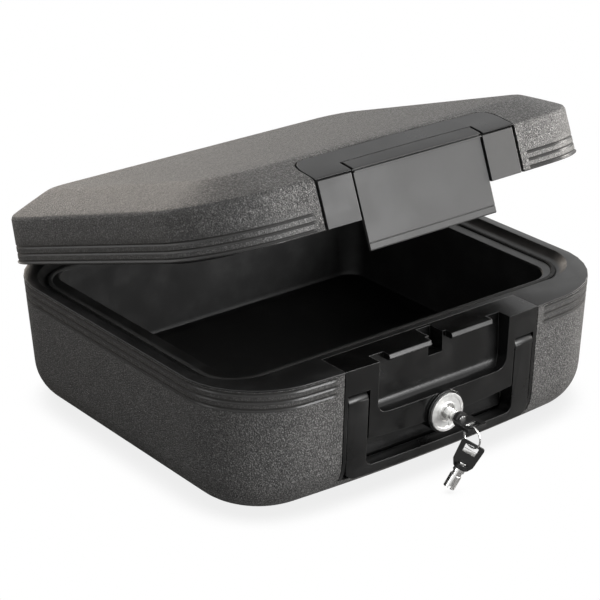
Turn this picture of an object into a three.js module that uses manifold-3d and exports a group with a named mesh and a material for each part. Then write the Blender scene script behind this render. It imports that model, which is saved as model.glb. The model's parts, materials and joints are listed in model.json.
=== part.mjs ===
// Fireproof chest with a hinged lid, a latch flap, a carry handle and a tubular key lock.
// Units are millimetres. +Z is up, the front faces -Y, and +X is to the right of the front.
// The origin is the centre of the footprint, on the surface that the chest stands on.
// The lid is modelled shut and then turned open about its hinge, as it stands in the photograph.

import * as THREE from 'three';
import { mergeVertices } from 'three/addons/utils/BufferGeometryUtils.js';
import Module from 'manifold-3d';

const wasm = await Module();
wasm.setup();

// Driving dimensions: the two shells
const bodyWidth = 391;
const bodyDepth = 338.6;
const frontBow = 10.9;
const cornerRadius = 64.3;
const shellWall = 3;
const rimHeight = 113.1;
const baseDraft = 6.85;
const bottomRound = 34.8;
const rimFlange = 1.3;
const rimEase = 0.8;
const seam = 0.4;
const lidGap = 0.4;
const lidLip = 1;
const lidOverhang = 0.85;
const lidWallRise = 39.1;
const lidWallInset = 1.9;
const lidSlopeRise = 15.8;
const lidTopInset = 38.2;
const crownRise = 0.5;

// Places that follow from the shells: the foremost line, the shoulder and the top
const frontY = -bodyDepth / 2 - frontBow;
const lidWallTop = rimHeight + lidWallRise;
const lidTop = lidWallTop + lidSlopeRise;

// Driving dimensions: the reeds round both shells
const baseReedPitch = 6.45;
const lidReedPitch = 5.85;
const reedDepth = 1.1;
const reedHalf = 1.1;
const reedCount = 3;
const baseReedDrop = 2.6;
const lidReedRise = 1.25;
const reedStop = 6;

// Driving dimensions: hinge and opening angle
const hingeInset = 4;
const hingeDrop = 14;
const hingeY = bodyDepth / 2 - hingeInset;
const hingeZ = rimHeight - hingeDrop;
const lidOpen = 18.2;
const hingeSpread = 110;
const knuckleRadius = 5;
const hingePinRadius = 2;
const knuckleLength = 18;
const earThickness = 4;
const leafThickness = 2.4;

// Driving dimensions: liner, seal and cavity, measured in from the rim's outline
const linerWall = 2.5;
const stepDrop = 6;
const stepSideInset = 8;
const stepFrontInset = 25.8;
const stepBackInset = 22.8;
const stepHalfX = bodyWidth / 2 - stepSideInset;
const stepFront = stepFrontInset - bodyDepth / 2;
const stepBack = bodyDepth / 2 - stepBackInset;
const stepRadius = 45;
const stepRun = 8;
const sealSideInset = 20.5;
const sealHalfX = bodyWidth / 2 - sealSideInset;
const sealWidth = 4;
const sealProud = 1.6;
const cavitySideInset = 33.5;
const cavityFrontInset = 42.3;
const cavityBackInset = 32.3;
const cavityHalfX = bodyWidth / 2 - cavitySideInset;
const cavityFront = cavityFrontInset - bodyDepth / 2;
const cavityBack = bodyDepth / 2 - cavityBackInset;
const cavityRadius = 22;
const cavityDraft = 3.5;
const cavityFloor = 24;
const panRise = 7.4;
const sealLandGap = 0.5;

// Driving dimensions: handle
const handleHalf = 93.5;
const armWidth = 18.7;
const handleThickness = 12;
const handleGap = 0.6;
const armGap = 1.4;
const armInner = handleHalf - armWidth;
const handlePivotDrop = 28.9;
const handlePivotZ = rimHeight - handlePivotDrop;
const barTop = 25.6;
const barBottom = 18;
const handlePinRadius = 2.3;

// Driving dimensions: lock and keys
const lockZ = rimHeight / 2.2;
const lockProud = 1.8;
const lockFace = frontY - lockProud;
const escutcheonRadius = 15.8;
const escutcheonThickness = 2.2;
const bossRadius = 17.4;
const lockBarrelRadius = 9.4;
const bossDepth = 19.9;
const bossBack = frontY + bossDepth;
const lockDepth = 23.2;
const lockEnd = frontY + lockDepth;
const plugRadius = 7.2;
const camLength = 50;
const camThickness = 2;
const keyTubeRadius = 4.75;
const keyTubeBore = 3.1;
const keyReach = 6.6;
const keySeat = lockFace + keyReach;
const keyShow = 12.5;
const bowLength = 22;
const bowEnd = lockFace - keyShow - bowLength;
const bowThickness = 2.6;
const bowWidth = 19.6;
const ringRadius = 9;
const ringWire = 0.7;
const ringDrop = 6.7;
const ringShift = -4.4;
const holeLength = 7.4;
const holeHalf = 5.6;
const holeMargin = 2;
const spareLean = 16.8;
const spareSwing = 7.9;
const spareTipZ = 4.4;

// Driving dimensions: front insert
const insertCheek = 3.5;
const insertHalf = handleHalf + insertCheek;
const insertGap = 0.4;
const insertDepth = 31.6;
const insertBack = frontY + insertDepth;
const insertBottom = 17;
const insertWall = 3;
const recessMargin = 9.1;
const recessHalf = armInner - recessMargin;
const recessDepth = 14.2;
const recessBack = frontY + recessDepth;
const recessDrop = 45.1;
const recessFloor = rimHeight - recessDrop;
const recessCorner = 10;
const recessFillet = 8;
const strikeInner = 10.5;
const strikeMargin = 13.7;
const strikeOuter = recessHalf - strikeMargin;
const strikeSetback = 5.8;
const strikeNose = frontY + strikeSetback;
const strikeThickness = 5.4;
const notchHalf = 7.2;
const notchDrop = 17.1;
const notchBottom = rimHeight - notchDrop;
const notchDepth = 29;
const notchBack = frontY + notchDepth;
const panelHalf = armInner - 0.5;
const panelBottom = lockZ - 4.9;
const panelSmile = 3;
const fingerDepth = 19.2;
const fingerBack = frontY + fingerDepth;
const barPocketDepth = 22.4;
const barPocketBack = frontY + barPocketDepth;

// Driving dimensions: latch flap, cheeks and the facet above them
const flapHalf = recessHalf - 3.4;
const flapDrop = 23.9;
const flapBottom = rimHeight - flapDrop;
const flapWall = 2.2;
const flapPivotDepth = 10.6;
const flapPivotDrop = 4.6;
const flapPivotY = frontY + flapPivotDepth;
const flapPivotZ = lidWallTop - flapPivotDrop;
const flapFootDepth = 1.8;
const flapShoulderDepth = 4.8;
const flapLipReach = 10.6;
const flapGap = 0.5;
const cheekInner = recessHalf - 0.5;
const cheekOuter = insertHalf - 1.6;
const facetDrop = 2.4;
const facetTop = lidTop - facetDrop;
const facetCorner = 10;
const flapPinRadius = 1.8;

const running = 0.3;
const far = 400;

// Colours, roughness and metalness
const finishes = {
  shell: new THREE.MeshStandardMaterial({ color: 0x4a4846, roughness: 0.75, metalness: 0 }),
  trim: new THREE.MeshStandardMaterial({ color: 0x1d1d1f, roughness: 0.42, metalness: 0 }),
  liner: new THREE.MeshStandardMaterial({ color: 0x232324, roughness: 0.5, metalness: 0 }),
  filler: new THREE.MeshStandardMaterial({ color: 0xb9b3a6, roughness: 0.95, metalness: 0 }),
  rubber: new THREE.MeshStandardMaterial({ color: 0x101010, roughness: 0.8, metalness: 0 }),
  bright: new THREE.MeshStandardMaterial({ color: 0xd9d9d6, roughness: 0.22, metalness: 1 }),
  zinc: new THREE.MeshStandardMaterial({ color: 0x9a9a98, roughness: 0.4, metalness: 1 }),
  key: new THREE.MeshStandardMaterial({ color: 0x151516, roughness: 0.5, metalness: 0 }),
};

// Solids from geometry, and geometry from solids

function solid(geometry) {
  const plain = geometry.index ? geometry.toNonIndexed() : geometry.clone();
  plain.deleteAttribute('normal');
  plain.deleteAttribute('uv');
  const merged = mergeVertices(plain, 1e-4);
  return new wasm.Manifold(new wasm.Mesh({
    numProp: 3,
    vertProperties: new Float32Array(merged.attributes.position.array),
    triVerts: new Uint32Array(merged.index.array),
  }));
}

function geometryOf(form) {
  const data = form.getMesh();
  const geometry = new THREE.BufferGeometry();
  geometry.setAttribute('position', new THREE.BufferAttribute(data.vertProperties, 3));
  geometry.setIndex(new THREE.BufferAttribute(data.triVerts, 1));
  return geometry;
}

const cut = (form, ...tools) => tools.reduce((left, tool) => left.subtract(tool), form);
const join = (form, ...others) => others.reduce((left, other) => left.add(other), form);
const meet = (form, ...others) => others.reduce((left, other) => left.intersect(other), form);

function piece(name, form, material) {
  const geometry = form.isBufferGeometry ? form : geometryOf(form);
  const flat = geometry.index ? geometry.toNonIndexed() : geometry;
  flat.computeVertexNormals();
  const mesh = new THREE.Mesh(flat, material);
  mesh.name = name;
  return mesh;
}

// Blocks, prisms and rods

function block(x0, x1, y0, y1, z0, z1) {
  const geometry = new THREE.BoxGeometry(x1 - x0, y1 - y0, z1 - z0);
  geometry.translate((x0 + x1) / 2, (y0 + y1) / 2, (z0 + z1) / 2);
  return solid(geometry);
}

function extrude(shape, depth, curveSegments = 6) {
  return new THREE.ExtrudeGeometry(shape, { depth, bevelEnabled: false, curveSegments });
}

// A shape drawn in (x, z), seen from the front, and carried along Y
function alongY(shape, y0, y1, curveSegments) {
  const geometry = extrude(shape, y1 - y0, curveSegments);
  geometry.rotateX(Math.PI / 2);
  geometry.translate(0, y1, 0);
  return solid(geometry);
}

// A shape drawn in (y, z) and carried along X
function alongX(shape, x0, x1, curveSegments) {
  const geometry = extrude(shape, x1 - x0, curveSegments);
  geometry.rotateY(Math.PI / 2);
  geometry.rotateX(Math.PI / 2);
  geometry.translate(x0, 0, 0);
  return solid(geometry);
}

function alongZ(shape, z0, z1, curveSegments) {
  const geometry = extrude(shape, z1 - z0, curveSegments);
  geometry.translate(0, 0, z0);
  return solid(geometry);
}

function polygon(points) {
  return new THREE.Shape(points.map(([a, b]) => new THREE.Vector2(a, b)));
}

function roundedBox(x0, y0, x1, y1, radius) {
  const shape = new THREE.Shape();
  shape.moveTo(x0 + radius, y0);
  shape.lineTo(x1 - radius, y0);
  shape.absarc(x1 - radius, y0 + radius, radius, -Math.PI / 2, 0);
  shape.lineTo(x1, y1 - radius);
  shape.absarc(x1 - radius, y1 - radius, radius, 0, Math.PI / 2);
  shape.lineTo(x0 + radius, y1);
  shape.absarc(x0 + radius, y1 - radius, radius, Math.PI / 2, Math.PI);
  shape.lineTo(x0, y0 + radius);
  shape.absarc(x0 + radius, y0 + radius, radius, Math.PI, Math.PI * 1.5);
  return shape;
}

// A round rod along Y or X through a point, from one coordinate to another
function rodY(radius, y0, y1, x, z, sides = 32) {
  const geometry = new THREE.CylinderGeometry(radius, radius, y1 - y0, sides);
  geometry.translate(x, (y0 + y1) / 2, z);
  return solid(geometry);
}

function rodX(radius, x0, x1, y, z, sides = 24) {
  const geometry = new THREE.CylinderGeometry(radius, radius, x1 - x0, sides);
  geometry.rotateZ(Math.PI / 2);
  geometry.translate((x0 + x1) / 2, y, z);
  return solid(geometry);
}

function rodZ(radius, z0, z1, x, y, sides = 20) {
  const geometry = new THREE.CylinderGeometry(radius, radius, z1 - z0, sides);
  geometry.rotateX(Math.PI / 2);
  geometry.translate(x, y, (z0 + z1) / 2);
  return solid(geometry);
}

// Outlines of the chest in plan, all with the same number of points in the same order

const cornerSteps = 8;
const reedEnd = insertHalf + reedStop;
const reedTurn = 2.5;
const flatHalf = bodyWidth / 2 - cornerRadius;
const frontStations = [
  0.2 - flatHalf, -(flatHalf + reedEnd + reedTurn) / 2, -reedEnd - reedTurn, -reedEnd,
  ...[1, 0.75, 0.5, 0.25, 0].map((share) => -insertHalf * share),
];
const stations = [...frontStations, ...frontStations.slice(0, -1).reverse().map((x) => -x)];

const bowAt = (x) => frontBow * (1 - (2 * x / bodyWidth) ** 2);

function planOutline({ halfX, front, back, radius, bowed }) {
  const points = [];
  const reach = halfX - radius;
  const along = bowed ? 1 : reach / flatHalf;
  stations.forEach((x) => points.push([x * along, front]));
  const corner = (cx, cy, start) => {
    for (let step = 1; step <= cornerSteps; step += 1) {
      const angle = start + (step - 0.5) / cornerSteps * Math.PI / 2;
      points.push([cx + radius * Math.cos(angle), cy + radius * Math.sin(angle)]);
    }
  };
  corner(reach, front + radius, -Math.PI / 2);
  points.push([halfX, 0]);
  corner(reach, back - radius, 0);
  corner(-reach, back - radius, Math.PI / 2);
  points.push([-halfX, 0]);
  corner(-reach, front + radius, Math.PI);
  return points.map(([x, y]) => (bowed && y < -1 ? [x, y - bowAt(x)] : [x, y]));
}

const bodyOutline = (inset) => planOutline({
  halfX: bodyWidth / 2 - inset,
  front: -bodyDepth / 2 + inset,
  back: bodyDepth / 2 - inset,
  radius: cornerRadius - inset,
  bowed: true,
});

const level = (outline, z) => outline.map(([x, y]) => new THREE.Vector3(x, y, z));

// A closed body through a stack of rings, capped at both ends, or joined end to end as a hoop
function loft(rings, hoop = false) {
  const count = rings[0].length;
  const vertices = rings.flat();
  const indices = [];
  const bands = hoop ? rings.length : rings.length - 1;
  for (let band = 0; band < bands; band += 1) {
    const low = band * count;
    const high = ((band + 1) % rings.length) * count;
    for (let i = 0; i < count; i += 1) {
      const j = (i + 1) % count;
      indices.push(low + i, low + j, high + j, low + i, high + j, high + i);
    }
  }
  if (!hoop) {
    const cap = (ring, offset, down) => {
      const flat = ring.map((p) => new THREE.Vector2(p.x, p.y));
      THREE.ShapeUtils.triangulateShape(flat, []).forEach(([a, b, c]) => {
        indices.push(...(down ? [offset + a, offset + c, offset + b] : [offset + a, offset + b, offset + c]));
      });
    };
    cap(rings[0], 0, true);
    cap(rings[rings.length - 1], count * (rings.length - 1), false);
  }
  const geometry = new THREE.BufferGeometry();
  const coordinates = vertices.flatMap((v) => [v.x, v.y, v.z]);
  geometry.setAttribute('position', new THREE.Float32BufferAttribute(coordinates, 3));
  geometry.setIndex(indices);
  return solid(geometry);
}

// Reeds: shallow V grooves that run round the shell and stop short of the front insert
function reedStack(centres) {
  return centres.flatMap((z) => [[z - reedHalf, 0], [z, reedDepth], [z + reedHalf, 0]]);
}

function reededOutline(inset, groove) {
  const outline = bodyOutline(inset);
  if (!groove) return outline;
  return bodyOutline(inset + groove).map((point, index) => (
    index < stations.length && Math.abs(stations[index]) <= reedEnd ? outline[index] : point
  ));
}

// The base shell's outer form, or the same form moved inwards by a wall

function baseInset(z, wall = 0) {
  const round = bottomRound - wall;
  const rise = bottomRound - z;
  const turn = rise > 0 ? round - Math.sqrt(Math.max(round * round - rise * rise, 0)) : 0;
  return wall + baseDraft * (1 - z / rimHeight) + turn;
}

function baseBody(wall, top, grooves = []) {
  const levels = [];
  const turnSteps = 6;
  for (let step = 0; step <= turnSteps; step += 1) {
    const angle = step / turnSteps * Math.PI / 2;
    levels.push([bottomRound - (bottomRound - wall) * Math.cos(angle), 0]);
  }
  levels.push(...grooves);
  levels.push([top, 0]);
  return loft(levels.map(([z, groove]) => level(reededOutline(baseInset(z, wall), groove), z)));
}

// The lid shell's outer form in its shut place, or the same form moved inwards by a wall

const lidBottom = rimHeight + lidGap;

function lidBody(wall, bottom, grooves = []) {
  const wallInset = (z) => wall + lidWallInset * (z - lidBottom) / (lidWallTop - lidBottom);
  const slope = Math.atan2(lidTop - lidWallTop, lidTopInset - lidWallInset);
  const shoulder = lidWallTop - wall * Math.tan(slope / 2 + Math.PI / 8) * 0.7;
  const levels = [];
  if (grooves.length) {
    levels.push([bottom, -lidOverhang + 0.6, 0], [bottom + 0.6, -lidOverhang, 0]);
    levels.push([bottom + lidLip, -lidOverhang, 0], [bottom + lidLip + 0.1, 0, 0]);
    grooves.forEach(([z, groove]) => levels.push([z, wallInset(z), groove]));
  } else {
    levels.push([bottom, wallInset(bottom), 0]);
  }
  levels.push([shoulder - 2.2, wallInset(shoulder - 2.2), 0]);
  levels.push([shoulder - 0.5, wallInset(shoulder - 0.5) + 0.5, 0]);
  levels.push([shoulder + 0.7, wallInset(lidWallTop) + 2.4, 0]);
  levels.push([lidTop - wall - crownRise - 1.6, lidTopInset - 4.4 + wall * 0.4, 0]);
  levels.push([lidTop - wall - crownRise, lidTopInset + 0.8 + wall * 0.4, 0]);
  levels.push([lidTop - wall, cornerRadius - 8, 0]);
  return loft(levels.map(([z, inset, groove]) => level(reededOutline(inset, groove), z)));
}

// Liner outlines: the step in the rim, the seal ledge and the cavity

const stepOutline = (run, grow = 0) => planOutline({
  halfX: stepHalfX - run + grow,
  front: stepFront + run - grow,
  back: stepBack - run + grow,
  radius: stepRadius - run + grow,
  bowed: false,
});

const cavityOutline = (z, grow = 0) => {
  const shrink = cavityDraft * (rimHeight - stepDrop - z) / (rimHeight - stepDrop - cavityFloor);
  return planOutline({
    halfX: cavityHalfX - shrink + grow,
    front: cavityFront + shrink - grow,
    back: cavityBack - shrink + grow,
    radius: cavityRadius - shrink + grow,
    bowed: false,
  });
};

const sealOutline = (offset) => planOutline({
  halfX: sealHalfX + offset,
  front: (stepFront + stepRun + cavityFront) / 2 - 1 - offset,
  back: (stepBack - stepRun + cavityBack) / 2 + offset,
  radius: stepRadius - 14 + offset,
  bowed: false,
});

const ledgeZ = rimHeight - stepDrop;
const floorRound = 5;

// Base: outer shell, filler, liner, seal

const shellTop = rimHeight - rimFlange - seam;
const topBaseReed = shellTop + seam - baseReedDrop;
const baseReeds = reedStack(
  Array.from({ length: reedCount }, (_, i) => topBaseReed - (reedCount - 1 - i) * baseReedPitch),
);

const insertOpening = (gap) => block(
  -insertHalf - gap, insertHalf + gap, -far, insertBack + gap, insertBottom - gap, far,
);

const hingeSides = [-1, 1];
const sideName = (side) => (side < 0 ? 'left' : 'right');
const pocketHalf = knuckleLength / 2 + earThickness + running + 0.7;
const pocketFront = hingeY - knuckleRadius - 3.4;
const pocketFloor = hingeZ - knuckleRadius - 2.2;

function hingePocket(side, gap = 0) {
  const x = side * hingeSpread;
  return block(x - pocketHalf - gap, x + pocketHalf + gap, pocketFront - gap, far, pocketFloor - gap, far);
}

function buildBase() {
  const outer = baseBody(0, shellTop, baseReeds);
  const inner = baseBody(shellWall, shellTop + 5);
  const pockets = hingeSides.map((side) => hingePocket(side));
  const shell = cut(outer, inner, insertOpening(insertGap), ...pockets);

  const rimOuter = (z, ease) => level(bodyOutline(baseInset(z) + ease), z);
  const linerInside = loft([
    level(cavityOutline(cavityFloor, -floorRound), cavityFloor),
    level(cavityOutline(cavityFloor, -floorRound * 0.29), cavityFloor + floorRound * 0.29),
    level(cavityOutline(cavityFloor + floorRound), cavityFloor + floorRound),
    level(cavityOutline(ledgeZ - 1), ledgeZ - 1),
    level(cavityOutline(ledgeZ, 1), ledgeZ),
    level(stepOutline(stepRun), ledgeZ + 0.01),
    level(stepOutline(stepRun * 0.55), ledgeZ + 1.2),
    level(stepOutline(1), rimHeight - 1),
    level(stepOutline(0), rimHeight),
    level(stepOutline(0), rimHeight + 5),
  ]);
  const flange = loft([
    rimOuter(rimHeight - rimFlange, 0),
    rimOuter(rimHeight - rimEase, 0),
    rimOuter(rimHeight - rimEase * 0.3, rimEase * 0.3),
    rimOuter(rimHeight, rimEase),
  ]);
  const bucket = linerForm(0, rimHeight - rimFlange + 0.5);
  const backRelief = block(-flatHalf, flatHalf, hingeY + 0.7, far, rimHeight - rimFlange - 1, far);
  const sealSlot = loft([
    level(sealOutline(sealWidth / 2 + running), ledgeZ - 1.4),
    level(sealOutline(sealWidth / 2 + running), ledgeZ + 0.6),
    level(sealOutline(-sealWidth / 2 - running), ledgeZ + 0.6),
    level(sealOutline(-sealWidth / 2 - running), ledgeZ - 1.4),
  ], true);
  const liner = cut(
    join(flange, bucket), linerInside, backRelief, sealSlot, insertOpening(insertGap), ...pockets,
  );

  const filler = cut(
    baseBody(shellWall + running, shellTop - 0.2),
    linerForm(running, rimHeight),
    insertOpening(insertGap * 2),
    ...hingeSides.map((side) => hingePocket(side, running)),
  );

  const seal = loft([
    level(sealOutline(sealWidth / 2), ledgeZ - 1.1),
    level(sealOutline(sealWidth / 2), ledgeZ + sealProud * 0.5),
    level(sealOutline(sealWidth / 4), ledgeZ + sealProud),
    level(sealOutline(-sealWidth / 4), ledgeZ + sealProud),
    level(sealOutline(-sealWidth / 2), ledgeZ + sealProud * 0.5),
    level(sealOutline(-sealWidth / 2), ledgeZ - 1.1),
  ], true);

  return [
    piece('base_shell', shell, finishes.shell),
    piece('base_filler', filler, finishes.filler),
    piece('base_liner', liner, finishes.liner),
    piece('rim_seal', seal, finishes.rubber),
  ];
}

// The liner's underside: a bucket with the ledge and the step, grown by a gap for the filler
function linerForm(gap, top) {
  const out = linerWall + gap;
  const bottom = cavityFloor - out;
  const under = ledgeZ - out;
  return loft([
    level(cavityOutline(cavityFloor, out - floorRound), bottom),
    level(cavityOutline(cavityFloor + 1.5, out - 1.5), bottom + 1.5),
    level(cavityOutline(cavityFloor + floorRound, out), bottom + floorRound),
    level(cavityOutline(under - 0.01, out), under - 0.01),
    level(stepOutline(stepRun, out), under),
    level(stepOutline(0, out), rimHeight - out),
    level(stepOutline(0, out), top),
  ]);
}

// Front insert of the base: recess, strikes, notch, lock panel and handle channel

const baseFrontInset = (wall) => baseBody(wall, rimHeight + 10);

// The same front carried straight down, without the rounding at the foot, for the handle
const draftInset = (z, wall) => wall + baseDraft * (1 - z / rimHeight);
const straightFront = (wall) => loft(
  [-12, rimHeight + 10].map((z) => level(bodyOutline(draftInset(z, wall)), z)),
);

function recessTool(grow) {
  const front = alongY(
    roundedBox(-recessHalf - grow, recessFloor - grow, recessHalf + grow, far, recessCorner),
    -far, recessBack + grow,
  );
  const side = new THREE.Shape();
  const back = recessBack + grow;
  const floor = recessFloor - grow;
  side.moveTo(-far, floor - 1.5);
  side.lineTo(back - recessFillet, floor);
  side.absarc(back - recessFillet, floor + recessFillet, recessFillet, -Math.PI / 2, 0);
  side.lineTo(back, far);
  side.lineTo(-far, far);
  return meet(front, alongX(side, -far, far));
}

// A strike is a shelf with a rounded nose, level with the rim, that the latch hooks go under
function strikeBar(side) {
  const nose = strikeThickness / 2;
  const middle = rimHeight - nose;
  const shape = new THREE.Shape();
  shape.moveTo(recessBack + 1, middle + nose);
  shape.lineTo(strikeNose + nose, middle + nose);
  shape.absarc(strikeNose + nose, middle, nose, Math.PI / 2, Math.PI * 1.5);
  shape.lineTo(recessBack + 1, middle - nose);
  const x0 = side < 0 ? -strikeOuter : strikeInner;
  return alongX(shape, x0, x0 + strikeOuter - strikeInner, 8);
}

function notchTool(grow) {
  return block(
    -notchHalf - grow, notchHalf + grow, recessBack - 4, notchBack + grow, notchBottom - grow, far,
  );
}

// The lock panel's lower edge dips a little towards the lock
function underPanel(grow) {
  const half = armInner - armGap / 2 - grow;
  const steps = 10;
  const points = [[handleHalf + handleGap, -far], [handleHalf + handleGap, barTop + 2], [half, barTop + 2]];
  for (let i = 0; i <= steps; i += 1) {
    const x = half * (1 - 2 * i / steps);
    points.push([x, panelBottom + grow + panelSmile * (x / panelHalf) ** 2]);
  }
  points.push([-half, barTop + 2], [-handleHalf - handleGap, barTop + 2], [-handleHalf - handleGap, -far]);
  return polygon(points);
}

// The space that the handle lies in: two arm channels, the bar's pocket and the finger space
function handleSpace(grow) {
  const depth = handleThickness + handleGap + grow;
  const skin = cut(straightFront(-5), straightFront(depth));
  const channels = hingeSides.map((side) => {
    const inner = armInner - armGap - grow;
    const outer = handleHalf + handleGap + (grow ? 3 : 0);
    const x0 = side < 0 ? -outer : inner;
    const top = handlePivotZ + handleThickness / 2 + armGap + grow;
    return meet(skin, block(x0, x0 + outer - inner, -far, barPocketBack + grow, -10, top));
  });
  const finger = alongY(underPanel(grow), -far, fingerBack + grow);
  const bar = block(
    -handleHalf - handleGap - (grow ? 3 : 0), handleHalf + handleGap + (grow ? 3 : 0),
    -far, barPocketBack + grow, -10, barTop + 2 + grow,
  );
  return join(channels[0], channels[1], finger, bar);
}

function buildFrontInsert() {
  const outerForm = meet(
    baseFrontInset(0), block(-insertHalf, insertHalf, -far, insertBack, insertBottom, rimHeight),
  );
  const recess = cut(recessTool(0), ...hingeSides.map(strikeBar));
  const boss = rodY(bossRadius, lockFace + escutcheonThickness + running, bossBack, 0, lockZ, 40);
  const outside = join(cut(outerForm, recess, notchTool(0), handleSpace(0)), boss);
  const innerForm = meet(
    baseFrontInset(insertWall),
    block(
      -insertHalf + insertWall, insertHalf - insertWall, -far, 0,
      insertBottom + insertWall, rimHeight - insertWall,
    ),
  );
  const hollow = cut(
    innerForm, recessTool(insertWall), notchTool(insertWall), handleSpace(insertWall), boss,
  );
  const camY = lockEnd + running;
  const camSlot = block(
    -notchHalf - insertWall - 1, notchHalf - 1, camY - 0.6, camY + camThickness + 0.6,
    notchBottom - insertWall - 1, notchBottom + 9,
  );
  const bore = rodY(lockBarrelRadius + 0.2, -far, insertBack + 5, 0, lockZ, 40);
  const pinBores = hingeSides.map((side) => {
    const x0 = side < 0 ? -insertHalf - 1 : armInner - armGap - insertWall - 1;
    return rodX(handlePinRadius + 0.2, x0, x0 + armWidth + insertWall * 2 + 5, handlePivotY, handlePivotZ);
  });
  const nutSeat = rodY(13.2, bossBack, insertBack + 5, 0, lockZ, 40);
  const insert = cut(outside, hollow, camSlot, bore, nutSeat, ...pinBores);
  return piece('front_insert', insert, finishes.trim);
}

// Handle: a U that follows the front's curve and turns on two pins at the top of its arms

const handleFrontAt = (x, z) => -bodyDepth / 2 + draftInset(z, 0) - bowAt(x);
const handlePivotY = handleFrontAt(handleHalf - armWidth / 2, handlePivotZ) + handleThickness / 2;

function handleOutline() {
  const shape = new THREE.Shape();
  const corner = 9;
  const fillet = 6;
  const topZ = handlePivotZ + handleThickness;
  shape.moveTo(-handleHalf + corner, barBottom);
  shape.lineTo(handleHalf - corner, barBottom);
  shape.absarc(handleHalf - corner, barBottom + corner, corner, -Math.PI / 2, 0);
  shape.lineTo(handleHalf, topZ);
  shape.lineTo(armInner, topZ);
  shape.lineTo(armInner, barTop + fillet);
  shape.absarc(armInner - fillet, barTop + fillet, fillet, 0, -Math.PI / 2, true);
  shape.lineTo(-armInner + fillet, barTop);
  shape.absarc(-armInner + fillet, barTop + fillet, fillet, -Math.PI / 2, Math.PI, true);
  shape.lineTo(-armInner, topZ);
  shape.lineTo(-handleHalf, topZ);
  shape.lineTo(-handleHalf, barBottom + corner);
  shape.absarc(-handleHalf + corner, barBottom + corner, corner, Math.PI, Math.PI * 1.5);
  return shape;
}

function buildHandle() {
  const skin = cut(straightFront(0), straightFront(handleThickness));
  const loop = meet(skin, alongY(handleOutline(), -far, 0));
  const above = block(-far, far, -far, far, handlePivotZ, far);
  const eyes = rodX(handleThickness / 2, -handleHalf, handleHalf, handlePivotY, handlePivotZ, 32);
  const between = block(-armInner, armInner, -far, far, handlePivotZ - handleThickness, far);
  const bores = rodX(handlePinRadius + 0.3, -far, far, handlePivotY, handlePivotZ);
  return piece('handle', cut(join(cut(loop, above), cut(eyes, between)), bores), finishes.trim);
}

function buildHandlePins() {
  return hingeSides.map((side) => {
    const inner = armInner - armGap - insertWall;
    const x0 = side < 0 ? -insertHalf : inner;
    const pin = rodX(handlePinRadius, x0, x0 + insertHalf - inner, handlePivotY, handlePivotZ);
    return piece(`handle_pin_${sideName(side)}`, pin, finishes.zinc);
  });
}

// Lock: body with its round face, nut, turning plug, cam and cam screw

const camStart = lockEnd + running;

function buildLockBody() {
  const face = rodY(escutcheonRadius, lockFace, lockFace + escutcheonThickness, 0, lockZ, 48);
  const barrel = rodY(lockBarrelRadius, lockFace + 1, lockEnd, 0, lockZ, 40);
  const bore = rodY(plugRadius + 0.2, -far, far, 0, lockZ, 40);
  const index = block(-2, 2, lockFace - 1, lockFace + 1.2, lockZ - 12.6, lockZ - 8.6);
  const rimGroove = cut(
    rodY(escutcheonRadius - 2.4, lockFace - 1, lockFace + 0.5, 0, lockZ, 48),
    rodY(plugRadius + 1.2, lockFace - 2, lockFace + 1, 0, lockZ, 40),
  );
  return piece('lock_body', cut(join(face, barrel), bore, index, rimGroove), finishes.bright);
}

function buildLockNut() {
  const outer = rodY(12.5, bossBack + running, bossBack + running + 2.6, 0, lockZ, 6);
  const bore = rodY(lockBarrelRadius + 0.2, -far, far, 0, lockZ, 40);
  return piece('lock_nut', cut(outer, bore), finishes.zinc);
}

function buildPlug() {
  const body = rodY(plugRadius, lockFace + 0.2, lockEnd, 0, lockZ, 40);
  const square = block(-3, 3, lockEnd - 1, camStart + camThickness, lockZ - 3, lockZ + 3);
  const keyway = cut(
    rodY(keyTubeRadius + 0.3, -far, keySeat + running, 0, lockZ, 28),
    rodY(keyTubeBore - 0.3, -far, far, 0, lockZ, 24),
  );
  return piece('lock_plug', cut(join(body, square), keyway), finishes.bright);
}

function buildCam() {
  const shape = new THREE.Shape();
  const hub = 8;
  const half = 4.6;
  shape.absarc(0, 0, hub, Math.asin(half / hub), -Math.asin(half / hub) + Math.PI * 2);
  shape.lineTo(camLength - 3, -half);
  shape.lineTo(camLength, -half + 3);
  shape.lineTo(camLength, half - 3);
  shape.lineTo(camLength - 3, half);
  const flat = alongY(shape, camStart, camStart + camThickness, 10);
  const arm = flat.rotate([0, 180, 0]).translate([0, 0, lockZ]);
  const square = block(-3.2, 3.2, -far, far, lockZ - 3.2, lockZ + 3.2);
  return piece('lock_cam', cut(arm, square), finishes.zinc);
}

function buildCamScrew() {
  const y0 = camStart + camThickness + running;
  return piece('cam_screw', screwHead(rodY(5, y0, y0 + 1.6, 0, lockZ, 20), y0 + 1.6), finishes.zinc);
}

// A cross recess in a screw head that faces +Y
function screwHead(head, y) {
  return cut(
    head,
    block(-2.4, 2.4, y - 0.7, y + 1, lockZ - 0.5, lockZ + 0.5),
    block(-0.5, 0.5, y - 0.7, y + 1, lockZ - 2.4, lockZ + 2.4),
  );
}

// Keys: drawn with the tube along +Y from the origin at the bow's outer end, flat in XY

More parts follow.
